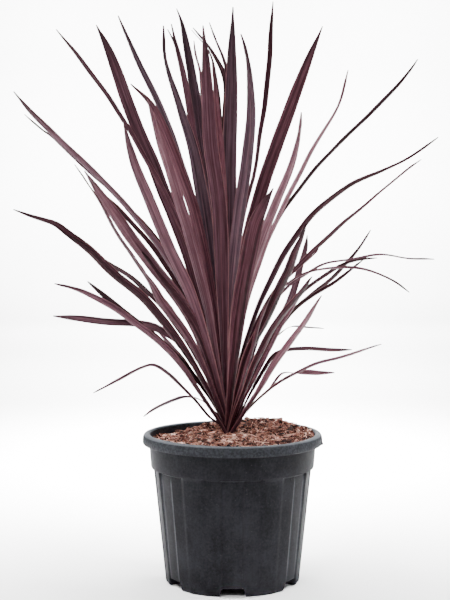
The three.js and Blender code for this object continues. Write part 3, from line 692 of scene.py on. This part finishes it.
# A leaf whose tip lies nearer than NEAR_SIDE shows this share of its width at this share of its
# length, and then turns as its row says.
NEAR_SIDE = 20.0
FOOT_SHOWN = 0.85
FOOT_SHARE = 0.12
BLADE_STEPS = 56
# Places across a blade, from one edge to the other
HALF_BLADE = np.array([-1.0, -0.86, -0.62, -0.36, -0.14, 0.0, 0.14, 0.36, 0.62, 0.86, 1.0])
# The leaves are placed as they are seen from an eye this far in front and this high up.
EYE_DISTANCE = 1930.0
EYE_HEIGHT = 503.0


def seen_leaf(depth, width, shown, taper, tone, cool, *seen, turning=(0.06, 0.34)):
    """A leaf as it is seen from the front: depth of its tip, full width, width that it shows, how
    late it tapers, its colour from 0 near black to 1 pink and from 0 red to 1 grey, the places
    that its midline passes from low down to its tip, as x and z in the stem's plane, and the
    shares of its length between which it turns to show that width."""
    return {
        "depth": depth, "width": width, "shown": shown, "taper": taper,
        "tone": tone, "cool": cool, "seen": seen, "turning": turning,
    }


low_left_leaves = [
    seen_leaf(
        90, 9, 5, 6, 0.30, 0.5,
        (-20, 222), (-42, 243), (-62, 247), (-78, 243), (-100, 233), (-118, 221),
    ),
    seen_leaf(
        -50, 9, 5.5, 4, 0.30, 0.4,
        (-14, 208), (-30, 219), (-50, 242), (-70, 263), (-90, 281), (-106, 290), (-120, 287),
        (-150, 271), (-186, 253),
    ),
    seen_leaf(
        80, 13, 10, 6, 0.34, 0.4,
        (-24, 238), (-38, 260), (-50, 282), (-62, 303), (-75, 320), (-90, 332), (-105, 341),
        (-125, 345), (-160, 347), (-238, 356),
        turning=(0.40, 0.55),
    ),
    seen_leaf(
        190, 10, 5, 5, 0.30, 0.4,
        (-26, 238), (-41, 260), (-55, 281), (-70, 303), (-85, 320), (-100, 337),
    ),
    seen_leaf(
        -110, 13, 10, 3.2, 0.50, 0.4,
        (-15, 208), (-22, 219), (-36, 240), (-50, 261), (-65, 284), (-80, 303), (-100, 322),
        (-125, 342), (-160, 367), (-200, 388), (-237, 399),
    ),
    seen_leaf(
        70, 12, 9, 5, 0.02, 0.3,
        (-25, 236), (-48, 270), (-65, 291), (-80, 306), (-100, 325), (-130, 349), (-170, 382),
        (-192, 402),
    ),
    seen_leaf(
        10, 11, 6.5, 7, 0.12, 0.2,
        (-30, 250), (-80, 333), (-120, 383), (-155, 411), (-190, 445), (-215, 463), (-235, 478),
        (-250, 483), (-270, 489), (-290, 497),
        turning=(0.80, 0.90),
    ),
    seen_leaf(
        -130, 15, 12.5, 5.5, 0.12, 0.3,
        (-18, 228), (-32, 254), (-46, 279), (-60, 302), (-80, 332), (-100, 357), (-120, 380),
        (-155, 408), (-190, 442), (-226, 467),
    ),
    seen_leaf(
        160, 11, 7, 4, 0.12, 0.3,
        (-22, 245), (-40, 284), (-60, 320), (-80, 350), (-95, 369), (-130, 403), (-165, 427),
        (-185, 441),
    ),
    seen_leaf(
        -210, 17, 5.5, 2.4, 0.38, 0.3,
        (-17, 228), (-28, 258), (-40, 288), (-55, 318), (-75, 347), (-95, 373), (-110, 399),
        (-124, 419), (-135, 435), (-149, 455), (-160, 474), (-180, 511), (-210, 556),
        turning=(0.44, 0.62),
    ),
    seen_leaf(
        140, 10, 5, 4, 0.02, 0.3,
        (-20, 240), (-34, 275), (-45, 298), (-60, 328), (-80, 362), (-100, 388), (-125, 428),
    ),
    seen_leaf(
        -180, 19, 16, 5.0, 0.66, 0.3,
        (-16, 235), (-24, 262), (-35, 295), (-47, 330), (-61, 360), (-84, 393), (-104, 418),
        (-119, 437), (-134, 457), (-163, 498), (-197, 548),
    ),
    seen_leaf(
        -125, 14, 12.5, 1.4, 0.20, 0.2,
        (-14, 232), (-28, 288), (-42, 328), (-55, 353), (-68, 372), (-80, 388), (-91, 402),
        (-102, 417), (-112, 430), (-121, 441),
    ),
    seen_leaf(
        100, 12, 7, 4, 0.18, 0.0,
        (-20, 250), (-42, 330), (-66, 385), (-84, 414), (-98, 436), (-111, 453), (-124, 468),
        (-138, 484), (-153, 500), (-172, 518), (-185, 533),
    ),
    seen_leaf(
        -20, 11, 4, 4, 0.32, 0.1,
        (-19, 250), (-33, 310), (-50, 358), (-70, 398), (-95, 440), (-122, 476), (-150, 508),
        (-176, 540),
    ),
    seen_leaf(
        -90, 15, 9, 8, 0.48, 0.5,
        (-14, 230), (-20, 270), (-37, 325), (-56, 372), (-76, 412), (-95, 442), (-113, 466),
        (-137, 495), (-168, 529), (-200, 560), (-240, 598), (-262, 620), (-289, 652),
    ),
    seen_leaf(
        190, 12, 5, 4, 0.20, 0.3,
        (-20, 262), (-53, 374), (-92, 446), (-147, 508), (-200, 556), (-235, 590), (-250, 601),
        (-273, 622),
    ),
]
left_leaves = [
    seen_leaf(
        110, 14, 6.8, 8, 0.46, 0.3,
        (-18, 270), (-45, 410), (-61, 455), (-77, 490), (-91, 520), (-104, 543), (-119, 570),
        (-142, 610), (-161, 640), (-205, 700), (-231, 733),
    ),
    seen_leaf(
        200, 20, 18, 6, 0.40, 0.4,
        (-12, 222), (-18, 250), (-29, 310), (-42, 370), (-61, 440), (-75, 480), (-91, 520),
        (-106, 560), (-124, 600), (-139, 640), (-160, 700), (-178, 739),
    ),
    seen_leaf(
        -230, 18.5, 15.4, 4.5, 0.56, 0.4,
        (-16, 245), (-33, 310), (-47, 355), (-59, 390), (-73, 420), (-92, 460), (-108, 500),
        (-125, 540), (-138, 580), (-145, 612),
    ),
    seen_leaf(
        40, 13, 9, 5, 0.62, 0.9,
        (-14, 270), (-30, 400), (-40, 455), (-52, 505), (-66, 550), (-90, 618), (-110, 661),
        (-130, 703), (-150, 751),
    ),
    seen_leaf(
        -200, 17, 14, 4.5, 0.74, 0.3,
        (-13, 240), (-28, 330), (-37, 380), (-47, 420), (-58, 460), (-70, 500), (-82, 540),
        (-95, 580), (-107, 620), (-113, 642),
    ),
    seen_leaf(
        -140, 18, 15.5, 3.5, 0.55, 0.1,
        (-12, 245), (-22, 330), (-36, 420), (-54, 500), (-68, 540), (-83, 580), (-100, 620),
        (-112, 640), (-135, 662),
    ),
    seen_leaf(
        -60, 20, 18.5, 1.3, 0.40, 0.9,
        (-12, 250), (-20, 330), (-26, 400), (-39, 500), (-54, 580), (-68, 625), (-76, 650),
        (-84, 675), (-90, 700), (-91, 738),
    ),
    seen_leaf(
        130, 14, 10, 6, 0.46, 0.3,
        (-12, 270), (-28, 440), (-38, 520), (-44, 560), (-53, 600), (-62, 660), (-71, 700),
        (-80, 740),
    ),
    seen_leaf(160, 12, 6, 5, 0.30, 0.4, (-12, 280), (-38, 520), (-58, 640), (-75, 712), (-85, 733)),
    seen_leaf(
        150, 17, 14, 5, 0.34, 0.8,
        (-12, 280), (-22, 430), (-30, 500), (-40, 580), (-48, 640), (-55, 680), (-66, 740),
        (-73, 760),
    ),
    seen_leaf(
        190, 12, 6, 4, 0.52, 0.0,
        (-11, 290), (-28, 540), (-39, 640), (-43, 680), (-48, 700), (-50, 718),
    ),
]
middle_leaves = [
    seen_leaf(
        -200, 21, 20, 3.2, 0.42, 0.35,
        (-9, 235), (-14, 380), (-19, 500), (-30, 580), (-37, 700), (-40, 738),
    ),
    seen_leaf(
        -30, 16, 10, 4, 0.55, 0.0,
        (-8, 280), (-12, 480), (-16, 560), (-21, 620), (-24, 660), (-27, 690),
    ),
    seen_leaf(
        210, 14, 10, 3, 0.05, 0.1,
        (-7, 320), (-11, 580), (-8, 660), (-14, 682), (-22, 696), (-30, 709), (-40, 722),
        (-51, 735),
    ),
    seen_leaf(240, 11, 4, 3, 0.20, 0.4, (-8, 330), (-14, 590), (-24, 684), (-33, 708), (-53, 732)),
    seen_leaf(
        170, 10, 6, 5, 0.30, 0.4,
        (-5, 330), (-3, 520), (-7, 675), (-14, 700), (-20, 715), (-30, 742),
    ),
    seen_leaf(
        80, 21.5, 20.5, 3.0, 0.43, 0.75,
        (-6, 270), (-4, 400), (-4, 500), (-3, 580), (-1, 640), (0, 720), (1, 762),
    ),
    seen_leaf(
        -190, 18, 16, 2.3, 0.55, 0.8,
        (-5, 250), (-2, 380), (3, 440), (10, 500), (16, 540), (23, 600), (24, 640), (21, 680),
        (15, 712), (10, 727),
    ),
    seen_leaf(
        30, 12, 8.0, 8, 0.34, 0.2,
        (-3, 320), (0, 400), (7, 440), (18, 500), (29, 540), (38, 600), (44, 640), (49, 690),
        (53, 769),
        turning=(0.60, 0.80),
    ),
]
right_leaves = [
    seen_leaf(
        210, 21, 18.5, 4, 0.38, 0.1,
        (-3, 240), (-1, 290), (4, 340), (10, 390), (20, 450), (33, 500), (45, 540), (59, 580),
        (81, 640), (96, 680), (112, 720), (119, 737),
    ),
    seen_leaf(
        -280, 22, 21, 3.5, 0.24, 0.15,
        (-2, 250), (6, 340), (11, 380), (18, 420), (22, 440), (30, 480), (41, 505), (52, 525),
    ),
    seen_leaf(
        -230, 15, 12, 3, 0.74, 0.35,
        (-1, 270), (12, 370), (20, 400), (33, 440), (55, 500), (72, 540), (84, 580), (88, 605),
        (89, 625),
    ),
    seen_leaf(
        -120, 13, 7.4, 2.6, 0.80, 0.3,
        (-5, 250), (1, 280), (6, 300), (9, 322), (18, 365), (28, 400), (45, 450), (65, 495),
        (85, 535), (100, 565), (120, 600), (141, 637), (151, 680),
    ),
    seen_leaf(
        130, 13, 5.2, 8, 0.02, 0.2,
        (4, 280), (22, 380), (42, 440), (60, 481), (85, 518), (120, 561), (160, 601), (200, 640),
        (235, 680), (244, 694),
    ),
    seen_leaf(
        -30, 14, 8.8, 1.7, 0.04, 0.1,
        (-5, 222), (3, 250), (13, 300), (28, 348), (50, 400), (72, 442), (100, 482), (120, 502),
        (140, 518), (160, 531), (200, 549), (230, 563), (271, 592),
    ),
    seen_leaf(
        200, 11, 5.5, 1.6, 0.30, 0.2,
        (4, 270), (20, 315), (48, 375), (70, 403), (100, 434), (140, 472), (180, 506), (220, 540),
        (250, 563),
    ),
    seen_leaf(
        -260, 16, 13, 3.6, 0.10, 0.0,
        (2, 228), (8, 262), (18, 298), (30, 325), (39, 340), (57, 380), (66, 400), (75, 420),
        (82, 440), (88, 455), (96, 478),
    ),
    seen_leaf(
        240, 13, 9, 9, 0.34, 0.4,
        (6, 250), (28, 290), (55, 335), (76, 372), (86, 400), (91, 420), (97, 440), (100, 463),
    ),
    seen_leaf(
        -190, 9, 5, 2.5, 0.30, 0.0,
        (4, 235), (12, 262), (17, 280), (26, 310), (35, 345), (50, 384),
    ),
]
low_right_leaves = [
    seen_leaf(
        -240, 13, 10, 5, 0.08, 0.0,
        (4, 225), (14, 250), (22, 272), (32, 297), (42, 318), (55, 342), (68, 360), (80, 374),
        (92, 390), (104, 408),
    ),
    seen_leaf(
        60, 9, 4.8, 4, 0.12, 0.2,
        (10, 235), (33, 285), (56, 332), (80, 372), (98, 391), (125, 411), (150, 425), (172, 431),
        (192, 433),
    ),
    seen_leaf(
        120, 8, 3.6, 3, 0.34, 0.4,
        (12, 245), (50, 365), (75, 395), (95, 409), (120, 424), (155, 430), (195, 437), (235, 432),
        (268, 431),
    ),
    seen_leaf(
        -80, 8.5, 4.0, 3, 0.36, 0.3,
        (12, 250), (45, 368), (60, 388), (90, 409), (115, 417), (150, 420), (180, 416), (210, 404),
        (234, 387),
    ),
    seen_leaf(
        200, 10.5, 5, 5, 0.08, 0.3,
        (12, 250), (56, 330), (85, 366), (108, 385), (130, 403), (148, 421), (162, 437), (178, 460),
        (184, 470),
    ),
    seen_leaf(
        20, 10, 4.5, 6, 0.02, 0.0,
        (9, 222), (18, 250), (34, 290), (52, 330), (75, 358), (105, 381), (135, 400), (155, 415),
        (173, 430),
    ),
    seen_leaf(150, 8, 4, 5, 0.12, 0.3, (9, 225), (22, 262), (38, 300), (50, 322), (78, 356)),
    seen_leaf(
        -190, 14, 10, 3.6, 0.66, 0.2,
        (8, 212), (20, 232), (35, 255), (48, 278), (62, 301), (78, 322), (93, 343), (105, 362),
        (117, 383),
    ),
    seen_leaf(
        90, 8, 3.6, 6, 0.22, 0.4,
        (12, 232), (25, 268), (38, 303), (47, 318), (60, 329), (77, 341), (100, 340), (122, 339),
    ),
    seen_leaf(
        30, 9, 5, 8, 0.20, 0.1,
        (9, 220), (30, 262), (50, 296), (57, 304), (72, 310), (95, 312), (130, 310), (159, 311),
    ),
    seen_leaf(
        -60, 9, 5, 6, 0.46, 0.3,
        (8, 212), (20, 229), (40, 249), (62, 266), (88, 281), (110, 291), (140, 299), (180, 312),
        (198, 318),
    ),
    seen_leaf(
        40, 11, 9, 5, 0.58, 0.2,
        (10, 217), (30, 240), (50, 257), (57, 267), (66, 278), (73, 280), (86, 279), (100, 280),
        (115, 279), (136, 280),
        turning=(0.66, 0.80),
    ),
    seen_leaf(
        130, 7, 2.4, 4, 0.56, 0.3,
        (10, 228), (28, 300), (42, 350), (54, 379), (67, 400), (81, 412), (95, 425), (106, 435),
        (113, 442), (115, 449),
    ),
    seen_leaf(
        -140, 9, 6, 4, 0.50, 0.2,
        (6, 222), (17, 246), (29, 270), (42, 296), (58, 330), (76, 362), (98, 398),
    ),
]


def backward_leaves(count):
    """The leaves that lean to the back, hidden behind the others as they are seen from the front,
    and longer and more upright inwards."""
    leaves = []
    for k in range(count):
        rank = (k + 0.5) / count
        tip_z = mix(330.0, 680.0, rank)
        tip_x = mix(-14.0, -26.0, rank) + mix(10.0, 20.0, rank) * math.sin(2.4 * k)
        length = mix(340.0, 530.0, rank) + 24.0 * math.sin(1.7 * k + 1.0)
        depth = math.sqrt(max(90.0 ** 2, length ** 2 - (tip_z - LEAF_FOOT_LEVEL) ** 2))
        arch = mix(0.75, 0.3, rank)
        seen = [
            (mix(STEM_X, tip_x, t), mix(LEAF_FOOT_LEVEL, tip_z, t + arch * t * (1.0 - t)))
            for t in (0.16, 0.5, 0.75, 1.0)
        ]
        width = 14.0 + 2.0 * math.sin(3.1 * k)
        tone = 0.3 + 0.25 * math.sin(1.9 * k)
        cool = 0.5 + 0.5 * math.sin(2.9 * k)
        leaves.append(seen_leaf(depth, width, width - 1.0, 4.0, tone, cool, *seen))
    return leaves


def smooth_path(points, samples):
    """A centripetal Catmull-Rom curve through the points: on each stretch a cubic whose end slopes
    come from the neighbouring points, with each stretch as long in time as the fourth root of
    its squared length. Returned at even steps of length."""
    ends = [2.0 * points[0] - points[1], 2.0 * points[-1] - points[-2]]
    p = np.concatenate([[ends[0]], points, [ends[1]]])
    time = np.sum(np.diff(p, axis=0) ** 2, axis=1) ** 0.25
    t0, t1, t2 = time[:-2, None], time[1:-1, None], time[2:, None]
    a, b, c, d = p[:-3], p[1:-2], p[2:-1], p[3:]
    slope_b = ((b - a) / t0 - (c - a) / (t0 + t1) + (c - b) / t1) * t1
    slope_c = ((c - b) / t1 - (d - b) / (t1 + t2) + (d - c) / t2) * t1
    u = np.linspace(0.0, 1.0, 41)[None, :, None]
    b, c, slope_b, slope_c = b[:, None], c[:, None], slope_b[:, None], slope_c[:, None]
    cubic = (
        b + slope_b * u
        + (-3.0 * b + 3.0 * c - 2.0 * slope_b - slope_c) * u ** 2
        + (2.0 * b - 2.0 * c + slope_b + slope_c) * u ** 3
    )
    path = np.concatenate([cubic[:, :-1].reshape(-1, 3), points[-1:]])
    run = np.concatenate([[0.0], np.cumsum(np.linalg.norm(np.diff(path, axis=0), axis=1))])
    even = np.linspace(0.0, run[-1], samples)
    return np.stack([np.interp(even, run, path[:, i]) for i in range(3)], axis=-1), run[-1]


def leaf_midline(leaf):
    """The leaf's foot on the stem and the places where it is seen, each moved to its true place:
    a depth that grows with the length run, and x and z drawn out from the eye to that depth."""
    seen = np.array(leaf["seen"], float)
    aim = np.array([seen[-1, 0] - STEM_X, leaf["depth"]])
    out = aim / np.linalg.norm(aim)
    foot_level = LEAF_FOOT_LEVEL + LEAF_FOOT_RISE * (seen[0, 1] - LEAF_FOOT_LEVEL)
    foot = np.array([STEM_X + LEAF_FOOT_INSET * out[0], LEAF_FOOT_INSET * out[1], foot_level])
    before = np.concatenate([[[STEM_X, foot_level]], seen])
    run = np.cumsum(np.linalg.norm(np.diff(before, axis=0), axis=1))
    depth = leaf["depth"] * (run / run[-1]) ** 1.15
    scale = (EYE_DISTANCE + depth) / EYE_DISTANCE
    height = EYE_HEIGHT + (seen[:, 1] - EYE_HEIGHT) * scale
    return out, np.concatenate([[foot], np.stack([seen[:, 0] * scale, depth, height], axis=-1)])


def unit(vectors):
    return vectors / np.linalg.norm(vectors, axis=-1, keepdims=True)


def facing_turn(along, across, face, shown_share, near):
    """The turn about its midline that makes a blade show a share of its width: turned by t it
    shows the share a cos t - b sin t, where a and b are the parts of its natural across and face
    directions that lie sideways in the view. Of all such turns it is the one nearest to another."""
    sideways = unit(np.cross([0.0, 1.0, 0.0], along))
    a = float(across @ sideways)
    b = float(face @ sideways)
    lean = math.atan2(b, a)
    spread = math.acos(min(1.0, shown_share / math.hypot(a, b)))
    turns = [-lean + way * spread + half * math.pi for way in (-1, 1) for half in (-1, 0, 1)]
    return min(turns, key=lambda turn: abs(turn - near))


def blade_turn(leaf, s, along, across, face):
    """How far a blade is turned along its length: leaves on the near side start flat to the front,
    the others as they grow, and each turns to show the width that is seen of it up to its tip."""
    low = int(FOOT_SHARE * (BLADE_STEPS - 1))
    high = int(max(0.55, leaf["turning"][1]) * (BLADE_STEPS - 1))
    foot_turn = 0.0
    if leaf["depth"] < NEAR_SIDE:
        foot_turn = facing_turn(along[low], across[low], face[low], FOOT_SHOWN, 0.0)
    shown_share = leaf["shown"] / leaf["width"]
    shown_turn = facing_turn(along[high], across[high], face[high], shown_share, 0.6 * foot_turn)
    tip_turn = facing_turn(along[-4], across[-4], face[-4], shown_share, shown_turn)
    turned_out = mix(foot_turn, shown_turn, smooth(*leaf["turning"], s))
    return mix(turned_out, tip_turn, smooth(s[high], s[-4], s))


def blade_points(leaf, rng):
    """Rings round a blade: a shallow trough with a rounded keel across, whose width, fold and turn
    change along it, and a lower face that lies under the upper one by the blade's thickness."""
    out, through = leaf_midline(leaf)
    middle, length = smooth_path(through, BLADE_STEPS)
    s = np.linspace(0.0, 1.0, BLADE_STEPS)
    along = unit(np.gradient(middle, axis=0))
    level = np.array([-out[1], out[0], 0.0])
    across = unit(level - along * (along @ level)[:, None])
    face = np.cross(along, across)
    sway = 0.05 * np.sin(s * rng.uniform(4.0, 9.0) + rng.uniform(0.0, 6.28)) * smooth(0.2, 0.6, s)
    turn = (blade_turn(leaf, s, along, across, face) + sway)[:, None]
    flat = across * np.cos(turn) - face * np.sin(turn)
    up = face * np.cos(turn) + across * np.sin(turn)
    rise = mix(FOOT_WIDTH_SHARE, 1.0, smooth(0.12, 0.52, s))
    fall = 1.0 - (np.maximum(0.0, s - TAPER_START) / (1.0 - TAPER_START)) ** leaf["taper"]
    sheath = SHEATH_WIDTH * (1.0 - s / SHEATH_LENGTH)
    narrow = min(1.0, 0.35 + 0.05 * leaf["width"]) * math.sqrt(leaf["width"] / leaf["shown"])
    point = (POINT_WIDTH - POINT_CUT * smooth(0.965, 1.0, s)) * narrow
    half = 0.5 * np.maximum.reduce([leaf["width"] * rise * fall, sheath, point])
    fold = mix(FOLD_AT_FOOT, FOLD_AT_TIP, smooth(0.0, 0.55, s))[:, None]
    thick = mix(THICK_AT_FOOT, THICK_AT_TIP, s)[:, None]
    u = HALF_BLADE[None, :]
    wave = MARGIN_WAVE * np.sin(s * length / WAVE_LENGTH + rng.uniform(0.0, 6.28))
    wave = (wave * smooth(0.1, 0.4, s))[:, None] * u ** 2
    reach = half[:, None] * u * np.cos(fold)
    lift = half[:, None] * (np.sqrt(u ** 2 + 0.02) - 0.1) * np.sin(fold) + wave
    body = thick * np.sqrt(np.maximum(0.0, 1.0 - 0.92 * u ** 2)) * 0.5
    spread = middle[:, None] + flat[:, None] * reach[..., None]
    upper = spread + up[:, None] * (lift + body)[..., None]
    lower = spread + up[:, None] * (lift - body)[..., None]
    ring = np.concatenate([upper, lower[:, -2:0:-1]], axis=1)
    side = np.concatenate([HALF_BLADE, HALF_BLADE[-2:0:-1]])
    under = np.concatenate([np.zeros(len(HALF_BLADE)), np.ones(len(HALF_BLADE) - 2)])
    under[[0, len(HALF_BLADE) - 1]] = 0.5
    numbers = {
        "across": np.broadcast_to(side, ring.shape[:2]) * np.ones_like(ring[..., 0]),
        "from_middle": half[:, None] * side[None, :],
        "run": (s * length)[:, None] * np.ones_like(side)[None, :],
        "share": s[:, None] * np.ones_like(side)[None, :],
        "under": under[None, :] * np.ones_like(s)[:, None],
        "tone": np.full(ring.shape[:2], leaf["tone"]),
        "cool": np.full(ring.shape[:2], leaf["cool"]),
        "luck": np.full(ring.shape[:2], rng.uniform(0.0, 1.0)),
    }
    return ring, numbers


def leaf_group(name, leaves, seed):
    """One mesh of many blades, each a closed skin: rings joined along it and an end point at its
    foot and at its tip."""
    rng = np.random.default_rng(seed)
    points, quads, triangles, columns = [], [], [], {}
    midline = len(HALF_BLADE) // 2
    start = 0
    for leaf in leaves:
        ring, numbers = blade_points(leaf, rng)
        rows, around = ring.shape[:2]
        place = np.arange(rows * around).reshape(rows, around)
        beside = np.roll(place, -1, axis=1)
        foot = np.stack([place[0], beside[0], np.full(around, rows * around)], axis=-1)
        tip = np.stack([beside[-1], place[-1], np.full(around, rows * around + 1)], axis=-1)
        skin = np.stack([place[:-1], place[1:], beside[1:], beside[:-1]], axis=-1).reshape(-1, 4)
        ends = np.stack([ring[0].mean(axis=0), ring[-1].mean(axis=0)])
        points.append(np.concatenate([ring.reshape(-1, 3), ends]))
        quads.append(skin + start)
        triangles.append(np.concatenate([foot, tip]) + start)
        for label, values in numbers.items():
            both = np.concatenate([values.ravel(), [values[0, midline], values[-1, midline]]])
            columns.setdefault(label, []).append(both)
        start += rows * around + 2
    joined = {label: np.concatenate(values) for label, values in columns.items()}
    arrays = [np.concatenate(parts) for parts in (points, quads, triangles)]
    return mesh_piece(name, *arrays, joined)


def leaf_material():
    material, w, shader = new_material("leaf_blade", specular=0.03)
    names = ("across", "from_middle", "run", "share", "under", "luck", "tone", "cool")
    across, from_middle, run, share, under, luck, tone, cool = map(w.number, names)
    lengthwise = w.vector(from_middle, run * 0.010, luck * 37.0)
    veins = w.noise(lengthwise, 1.9, 3.0, 0.7)
    bands = w.noise(lengthwise, 0.46, 2.0, 0.5)
    patches = w.noise(w.vector(run * 0.02, across, luck * 91.0), 1.0, 2.0, 0.5)
    stripes = bands.between(0.32, 0.68)
    fine = veins.between(0.35, 0.65)
    shade = tone * 0.78 + under * 0.08 + stripes * 0.22 + patches * 0.14 + fine * 0.20 - 0.215
    greyness = cool * 0.85 + patches * 0.20 - 0.04
    blade = greyness.blend(shade.ramp(RED_STOPS), shade.ramp(GREY_STOPS))
    beside_middle = w.maths("ABSOLUTE", across)
    low_down = 1.0 - share.between(0.12, 0.60)
    margin = (beside_middle + low_down * 0.16).between(0.86, 0.98) * (0.28 + 0.44 * luck)
    edged = margin.blend(blade, MARGIN_RED)
    keel = (1.0 - beside_middle.between(0.0, 0.12)) * 0.30 * (1.0 - share.between(0.4, 0.75))
    ribbed = keel.blend(edged, KEEL_RED)
    # Painted shade: the trough beside the keel darkened low down, where the folded blade shades it
    groove = (1.0 - (beside_middle - 0.12).between(0.0, 0.50)) * beside_middle.between(0.02, 0.16)
    groove_shaded = (groove * low_down * 0.55).blend(ribbed, GROOVE_PAINTED_SHADE)
    # Painted shade: the blade darkened low down towards the heart of the plant, away from its
    # edges, where the leaves around it shade it
    foot = (1.0 - share.between(0.05, 0.36)) * 0.60 * (1.0 - beside_middle.between(0.50, 0.85))
    foot_shaded = foot.blend(groove_shaded, FOOT_PAINTED_SHADE)
    tip = share.between(0.86, 0.99) * (0.85 - tone * tone * 0.95)
    feed(tip.blend(foot_shaded, TIP_DARK), shader, "Base Color")
    feed(0.42 + veins * 0.14 + patches * 0.12 + under * 0.06, shader, "Roughness")
    relief = veins * 0.7 + bands * 0.5
    feed(relief.bump(0.30, 0.0006), shader, "Normal")
    return material


leaf_blade = leaf_material()
groups = {
    "leaves_low_left": low_left_leaves,
    "leaves_left": left_leaves,
    "leaves_middle": middle_leaves,
    "leaves_right": right_leaves,
    "leaves_low_right": low_right_leaves,
    "leaves_backward": backward_leaves(BACKWARD_COUNT),
}
for seed, (name, leaves) in enumerate(groups.items()):
    blades = leaf_group(name, leaves, 40 + seed)
    blades.data.materials.append(leaf_blade)
    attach(blades, "root")
    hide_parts("cordyline")

# Stem: the short woody crown that the leaf feet clasp, nearly hidden by them, tapering up into the
# heart of the plant and set in the compost.
CROWN_DARK = (0.045, 0.018, 0.020, 1)
CROWN_LIGHT = (0.160, 0.070, 0.060, 1)
# Its outline from the foot up, as radius and height
CROWN_OUTLINE = np.array([
    [0.5, 165], [5.5, 166], [6.0, 186], [4.6, 198], [3.6, 215], [3.0, 232], [0.5, 250],
], float)
around = np.linspace(0.0, 2.0 * np.pi, 24, endpoint=False)
steps = np.linspace(0, len(CROWN_OUTLINE) - 1, 40)
radius = np.interp(steps, np.arange(len(CROWN_OUTLINE)), CROWN_OUTLINE[:, 0])[:, None]
height = np.interp(steps, np.arange(len(CROWN_OUTLINE)), CROWN_OUTLINE[:, 1])[:, None]
ridged = radius * (1.0 + 0.10 * np.sin(3.0 * around + height / 2.2))
stem_points = np.stack([
    STEM_X + ridged * np.cos(around),
    ridged * np.sin(around),
    height + 0.0 * around,
], axis=-1)
stem = closed_skin("crown", stem_points)
crown_bark, w, shader = new_material("crown_bark", specular=0.3)
here = w.place()
fibres = w.noise(w.stretched(here, 1.0, 1.0, 0.2), 900.0, 4.0, 0.65)
feed(fibres.between(0.35, 0.7).blend(CROWN_DARK, CROWN_LIGHT), shader, "Base Color")
feed(0.65 + fibres * 0.2, shader, "Roughness")
feed(fibres.bump(0.8, 0.001), shader, "Normal")
stem.data.materials.append(crown_bark)
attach(stem, "root")
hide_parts("cordyline")

# Setting: a plain pale sweep of floor and far back wall in one piece, under large soft lamps, and
# the camera about two metres in front, at half the plant's height and aimed a little down.
SWEEP_HALF_WIDTH = 9000.0
# The sweep's outline from the near edge back and up the wall, as y and height
path = np.array([
    [-9000, 0], [4700, 0], [5400, 60], [6000, 300], [6400, 750], [6550, 1300], [6550, 6000],
], float)
corners = np.concatenate([path[:, None, :]] * 2, axis=1)
sides = np.array([-SWEEP_HALF_WIDTH, SWEEP_HALF_WIDTH])[None, :] * np.ones((len(path), 1))
sweep_points = np.stack([sides, corners[..., 0], corners[..., 1]], axis=-1)
place = np.arange(len(path) * 2).reshape(-1, 2)
sweep_quads = np.stack([place[:-1, 0], place[:-1, 1], place[1:, 1], place[1:, 0]], axis=-1)
sweep = mesh_piece("pale_sweep", sweep_points.reshape(-1, 3), sweep_quads, np.zeros((0, 3), int))
sweep_paint, w, shader = new_material("sweep_paint", specular=0.1)
shader.inputs["Base Color"].default_value = (0.95, 0.95, 0.95, 1)
shader.inputs["Roughness"].default_value = 0.9
sweep.data.materials.append(sweep_paint)


def soft_lamp(name, place, aim, width, power, spread=180):
    """A round lamp of a width in metres and a power in watts, aimed from one place at another."""
    lamp = bpy.data.lights.new(name, "AREA")
    lamp.shape = "DISK"
    lamp.size = width
    lamp.energy = power
    lamp.spread = math.radians(spread)
    holder = bpy.data.objects.new(name, lamp)
    bpy.context.scene.collection.objects.link(holder)
    holder.location = place
    aimed = Vector(aim) - Vector(place)
    holder.rotation_euler = aimed.to_track_quat("-Z", "Y").to_euler()


soft_lamp("key_lamp", (-1.1, -1.9, 2.2), (0, 0, 0.4), 0.8, 62)
soft_lamp("fill_lamp", (1.9, -1.7, 1.3), (0, 0, 0.35), 1.0, 15)
soft_lamp("top_lamp", (0.2, -0.1, 2.8), (0, 0, 0.3), 1.0, 44)
soft_lamp("left_floor_lamp", (-1.5, 0.2, 2.2), (-1.0, 0.2, 0.0), 0.8, 46, spread=60)
soft_lamp("right_floor_lamp", (1.5, 0.2, 2.2), (1.0, 0.2, 0.0), 0.8, 46, spread=60)
soft_lamp("middle_floor_lamp", (0.0, 1.0, 2.6), (0, 0.95, 0.0), 0.6, 66, spread=40)
soft_lamp("near_floor_lamp", (0.0, 2.2, 2.6), (0, 2.0, 0.0), 1.0, 90, spread=60)
soft_lamp("far_floor_lamp", (0.0, 3.6, 3.2), (0, 3.9, 0.0), 1.0, 200, spread=70)
soft_lamp("left_wall_lamp", (-1.4, 4.4, 3.2), (-0.8, 6.5, 0.7), 1.0, 200, spread=80)
soft_lamp("right_wall_lamp", (1.4, 4.4, 3.2), (0.8, 6.5, 0.7), 1.0, 200, spread=80)

world = bpy.data.worlds.new("soft_room")
bpy.context.scene.world = world
world.use_nodes = True
background = world.node_tree.nodes["Background"]
background.inputs["Color"].default_value = (1.0, 1.0, 1.0, 1)
background.inputs["Strength"].default_value = 0.12

EYE_X = -10.0
EYE_PITCH = 3.73
camera = bpy.data.cameras.new("camera")
camera.lens = 87.4
camera.sensor_width = 36.0
camera_holder = bpy.data.objects.new("camera", camera)
bpy.context.scene.collection.objects.link(camera_holder)
camera_holder.location = (EYE_X * MM, -EYE_DISTANCE * MM, EYE_HEIGHT * MM)
camera_holder.rotation_euler = (math.radians(90.0 - EYE_PITCH), 0.0, 0.0)
bpy.context.scene.camera = camera_holder
